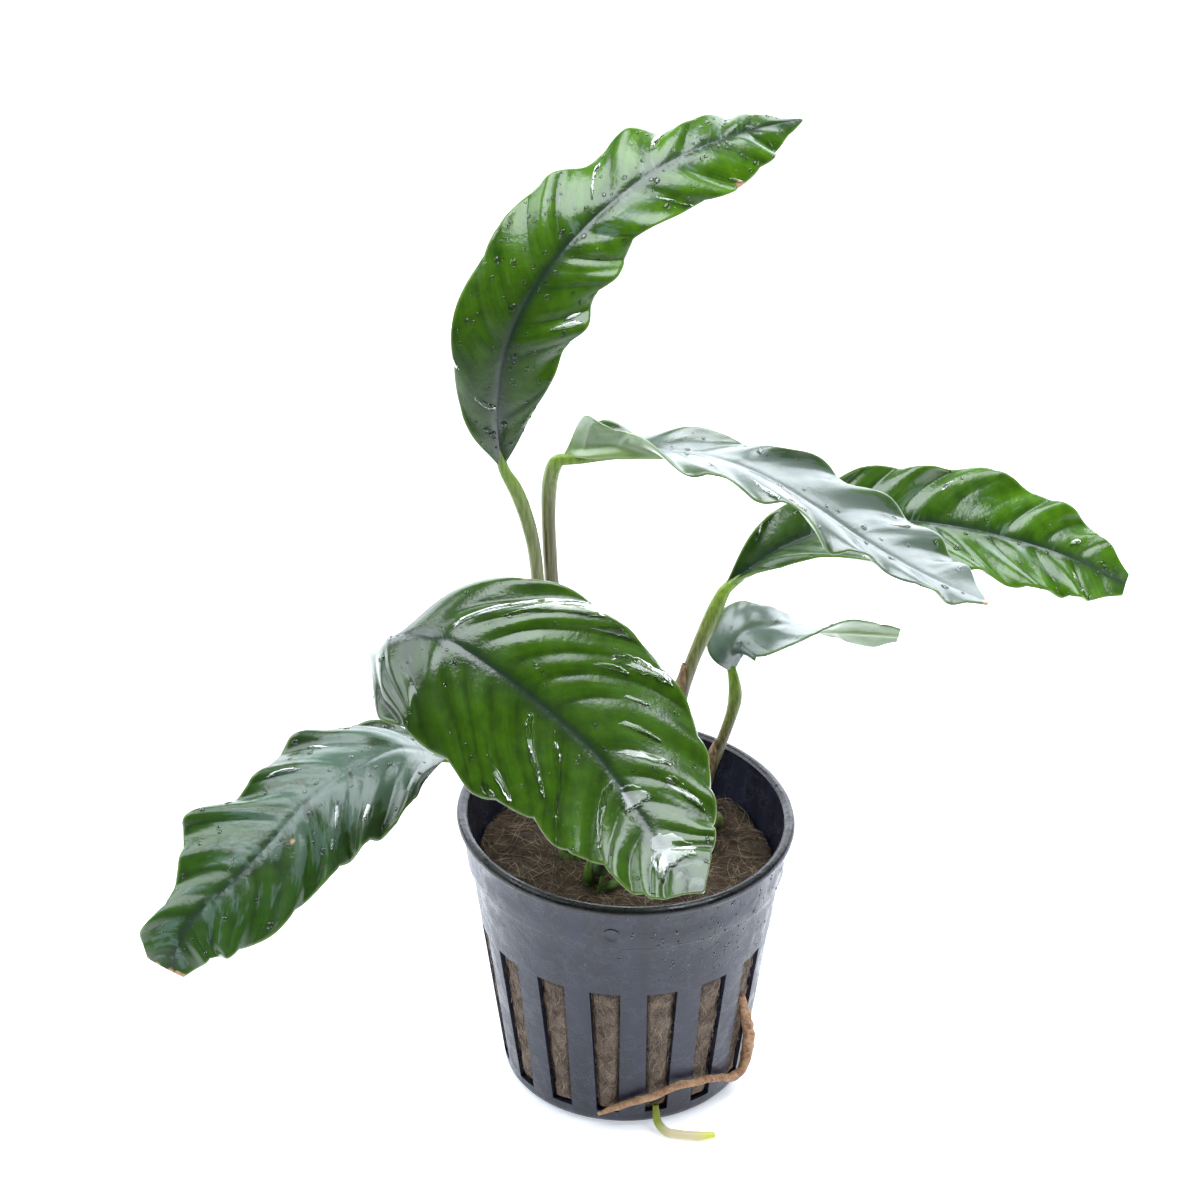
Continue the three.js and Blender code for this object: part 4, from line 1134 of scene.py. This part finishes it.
def wool_fibres(name, kind):
    """Loose fibres that lie on the wool's top, or just inside the slots."""
    dice = np.random.default_rng(kind["seed"])
    count = kind["count"]
    start, way, bend, length = (top_fibres if kind["on_top"] else side_fibres)(dice, count)
    t = np.linspace(-0.5, 0.5, FIBRE_STEPS)[None, :, None]
    curve = dice.normal(0, 1.2, count)[:, None, None]
    paths = start[:, None] + way[:, None] * t * length[:, None, None]
    paths += bend[:, None] * curve * (t**2 - 0.1) * 2
    r_now = np.linalg.norm(paths[..., :2], axis=-1)
    if kind["on_top"]:
        limit = plug_radius(WOOL_TOP_Z) - 0.4
        paths[..., :2] *= np.minimum(1, limit / r_now)[..., None]
        height = relief(paths * (1, 1, 0) + (0, 0, WOOL_TOP_Z), TOP_LUMPS[0])
        paths[..., 2] = crown(r_now) + height + dice.uniform(0, 0.5, count)[:, None]
    else:
        paths[..., 2] = np.clip(paths[..., 2], 3.2, 29.4)
        limit = plug_radius(paths[..., 2]) + dice.uniform(-0.2, 0.2, count)[:, None] + into_slots(paths)
        paths[..., :2] *= (limit / r_now)[..., None]
    points, faces = strands(lean(paths), kind["radius"])
    material = fibre_material(kind["look"], kind["dark"], kind["light"])
    return mesh_object(name, points, faces, material)


# Water drops

def drop_shape():
    """A unit dome: rings of points and faces."""
    sides, rings = 10, [(1, 0), (0.86, 0.45), (0.5, 0.8)]
    angle = np.linspace(0, 2 * np.pi, sides, endpoint=False)
    points = [np.stack([r * np.cos(angle), r * np.sin(angle), np.full(sides, h)], -1) for r, h in rings]
    points = np.vstack([*points, [[0, 0, 0.92]]])
    faces = grid_faces(3, sides, closed=True).tolist()
    faces += [[2 * sides + k, 2 * sides + (k + 1) % sides, 3 * sides] for k in range(sides)]
    return points, faces


def leaf_normal(leaf, s, u, detail=True):
    """(way along the leaf, way out of its upper side)"""
    step = 0.01
    along = leaf_surface(leaf, s + step, u, detail) - leaf_surface(leaf, s - step, u, detail)
    across = leaf_surface(leaf, s, u + step, detail) - leaf_surface(leaf, s, u - step, detail)
    return unit(along), unit(np.cross(along, across))


def merged(parts):
    """One list of points and one of faces from many small shapes."""
    faces, count = [], 0
    for points, some in parts:
        faces.extend([[index + count for index in face] for face in some])
        count += len(points)
    return np.vstack([points for points, _ in parts]), faces


def leaf_drops(material):
    """Small round drops scattered over the leaves, more of them near the midrib and the margins."""
    shape, shape_faces = drop_shape()
    dice = np.random.default_rng(5)
    parts = []
    for name, count in LEAF_DROPS.items():
        leaf = LEAVES[name]
        s = dice.uniform(0.05, 0.95, count)
        u = np.sign(dice.random(count) - 0.5) * dice.random(count) ** 0.35 * 0.96
        u = np.where(dice.random(count) < RIB_DROPS, 0.25 * u, u)
        along, normal = leaf_normal(leaf, s, u)
        second = np.cross(normal, along)
        size = dice.uniform(0.12, 0.4, count) * np.where(dice.random(count) < 0.15, 1.6, 1)
        base = leaf_surface(leaf, s, u) + normal * (BLADE_THICKNESS / 2 - 0.03)
        for k in range(count):
            drop = shape[:, :1] * along[k] * dice.uniform(0.9, 1.5)
            drop = drop + shape[:, 1:2] * second[k] + 0.55 * shape[:, 2:] * normal[k]
            parts.append((base[k] + size[k] * drop, shape_faces))
    points, faces = merged(parts)
    return mesh_object("leaf_drops", points, faces, material)


def water_patch(leaf, at_s, at_u, across, along, dice):
    """A pool on the leaf. Across and along are half its sizes, and its long way follows the side veins.

    Its upper side lies a little nearer to level than the leaf does, so it is thicker at its lower end.
    """
    sides, rings = PATCH_SIDES, PATCH_RINGS
    length = curve_length(leaf["rib"])
    turn = np.linspace(0, 2 * np.pi, sides, endpoint=False)
    waves = [size * np.sin(count * turn + 7 * dice.random()) for size, count in PATCH_WAVES]
    edge = (1 + sum(waves)) * rings[:, None]
    width = half_width(leaf, np.array(at_s), np.array(at_u))
    aside = at_u * width + across * edge * np.cos(turn)
    start = swept(leaf, at_s, at_u, width) + along * edge * np.sin(turn) / length
    width = half_width(leaf, np.clip(start, 0, 1), aside)
    u = np.clip(aside / width, -0.96, 0.96)
    s = np.clip(start + leaf["lean"] * width * np.abs(u) ** 1.7 / length, 0.02, 0.98)
    under = leaf_surface(leaf, s, u, detail=False)
    _, normal = leaf_normal(leaf, s, u, detail=False)
    middle = under.reshape(-1, 3).mean(0)
    slope = normal.reshape(-1, 3).mean(0)
    downhill = unit(slope * slope[2] - np.array([0, 0, 1.0]))
    depth = PATCH_HEIGHT + WATER_LEVELLING * ((under - middle) @ downhill)
    depth = np.maximum(depth, 0.06) + 0.02 * cloud(under, 1.4, 31)
    rise = depth * np.sqrt(1 - rings[:, None] ** 8)
    rise[0] = -0.2
    grid = under + normal * (BLADE_THICKNESS / 2 + rise)[..., None]
    points = np.vstack([grid.reshape(-1, 3), grid[-1].mean(0)[None]])
    faces = grid_faces(len(rings), sides, closed=True).tolist()
    last = (len(rings) - 1) * sides
    faces += [[last + k, last + (k + 1) % sides, last + sides] for k in range(sides)]
    return points, faces


def water_patches(material):
    dice = np.random.default_rng(9)
    parts = []
    for name, count in PATCH_COUNTS.items():
        places = list(WATER_PATCHES.get(name, []))
        for _ in range(count):
            side = 1 if dice.random() < 0.5 else -1
            places.append((dice.uniform(0.1, 0.9), side * dice.uniform(0.35, 0.9), dice.uniform(0.6, 2.2),
                           dice.uniform(0.25, 0.6)))
        parts += [water_patch(LEAVES[name], *place, dice) for place in places]
    points, faces = merged(parts)
    return mesh_object("leaf_water", points, faces, material)


# Stage, light and camera

def stage():
    bpy.ops.mesh.primitive_plane_add(size=8)
    floor = bpy.context.object
    floor.name = "floor"
    shader = Shader("white_floor")
    # The floor is a dark grey sheet of painted shade in front, for the leaves to reflect, and from just in
    # front of the pot backwards it is pale and glows as a painted light like a light table
    near = shader.range(shader.axis("Y"), -0.24, -0.07)
    pale = shader.mix(near, (0.35, 0.35, 0.35), (0.88, 0.88, 0.88))
    glow = shader.math("MULTIPLY", near, 0.55)
    shader.set(Base_Color=pale, Roughness=0.9, Emission_Color=(0.88, 0.93, 1.0), Emission_Strength=glow)
    floor.data.materials.append(shader.material)


def soft_light(name, place, aim, size, power, colour):
    data = bpy.data.lights.new(name, "AREA")
    data.shape = "RECTANGLE"
    data.size, data.size_y = size
    data.energy = power
    data.color = colour
    lamp = bpy.data.objects.new(name, data)
    bpy.context.scene.collection.objects.link(lamp)
    lamp.location = place
    way = np.asarray(aim, float) - np.asarray(place, float)
    lamp.rotation_euler = Vector(way).to_track_quat("-Z", "Y").to_euler()
    lamp.visible_camera = False


def lights():
    for name, light in LIGHTS.items():
        soft_light(name, **light)
    world = bpy.data.worlds.new("studio")
    world.use_nodes = True
    background = world.node_tree.nodes["Background"]
    background.inputs["Color"].default_value = (0.9, 0.95, 1, 1)
    background.inputs["Strength"].default_value = 0.1
    bpy.context.scene.world = world


def camera():
    data = bpy.data.cameras.new("camera")
    data.lens = CAMERA_LENS
    data.sensor_width = 36
    eye = bpy.data.objects.new("camera", data)
    eye.location = CAMERA_PLACE
    eye.rotation_euler = (math.radians(CAMERA_TILT), 0, 0)
    bpy.context.scene.collection.objects.link(eye)
    bpy.context.scene.camera = eye
    bpy.context.scene.view_settings.view_transform = "Standard"


def plant():
    greens = {name: leaf_material(name, look) for name, look in LEAF_LOOKS.items()}
    stalk_look = stalk_material()
    for name, leaf in LEAVES.items():
        leaf_blade(name, leaf, greens[leaf["look"]])
        leaf_stalk(name, leaf, stalk_look)
    sheath_look = sheath_material()
    for name, shape in SHEATHS.items():
        sheath(name, shape, sheath_look)
    rod("rhizome_look", RHIZOME, rhizome_material(), "rhizome", sides=28, lumps=0.12)
    rod("new_shoot_look", SHOOT, greens["young_leaf"], "new_shoot", steps=40)
    fresh_green = fibre_material("fresh_shoot", (58, 92, 26), (120, 150, 62))
    for name, shape in SHOOT_BLADES.items():
        rod(name, shape, fresh_green, None, sides=10, steps=24)
    root = old_root_material()
    rod("old_root_look", OLD_ROOT, root, "old_root", steps=260, lumps=0.18, lump_size=1)
    rod("new_root_look", NEW_ROOT, new_root_material(), "new_root", lumps=0.08)
    water = water_material()
    leaf_drops(water)
    water_patches(water)


def pot_and_wool():
    plastic = pot_material()
    pot(plastic)
    gate_mark(plastic)
    pot_drops(water_material())
    wool(wool_material())
    for name, kind in FIBRES.items():
        wool_fibres(name, kind)


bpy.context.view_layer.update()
camera()
stage()
lights()
plant()
pot_and_wool()
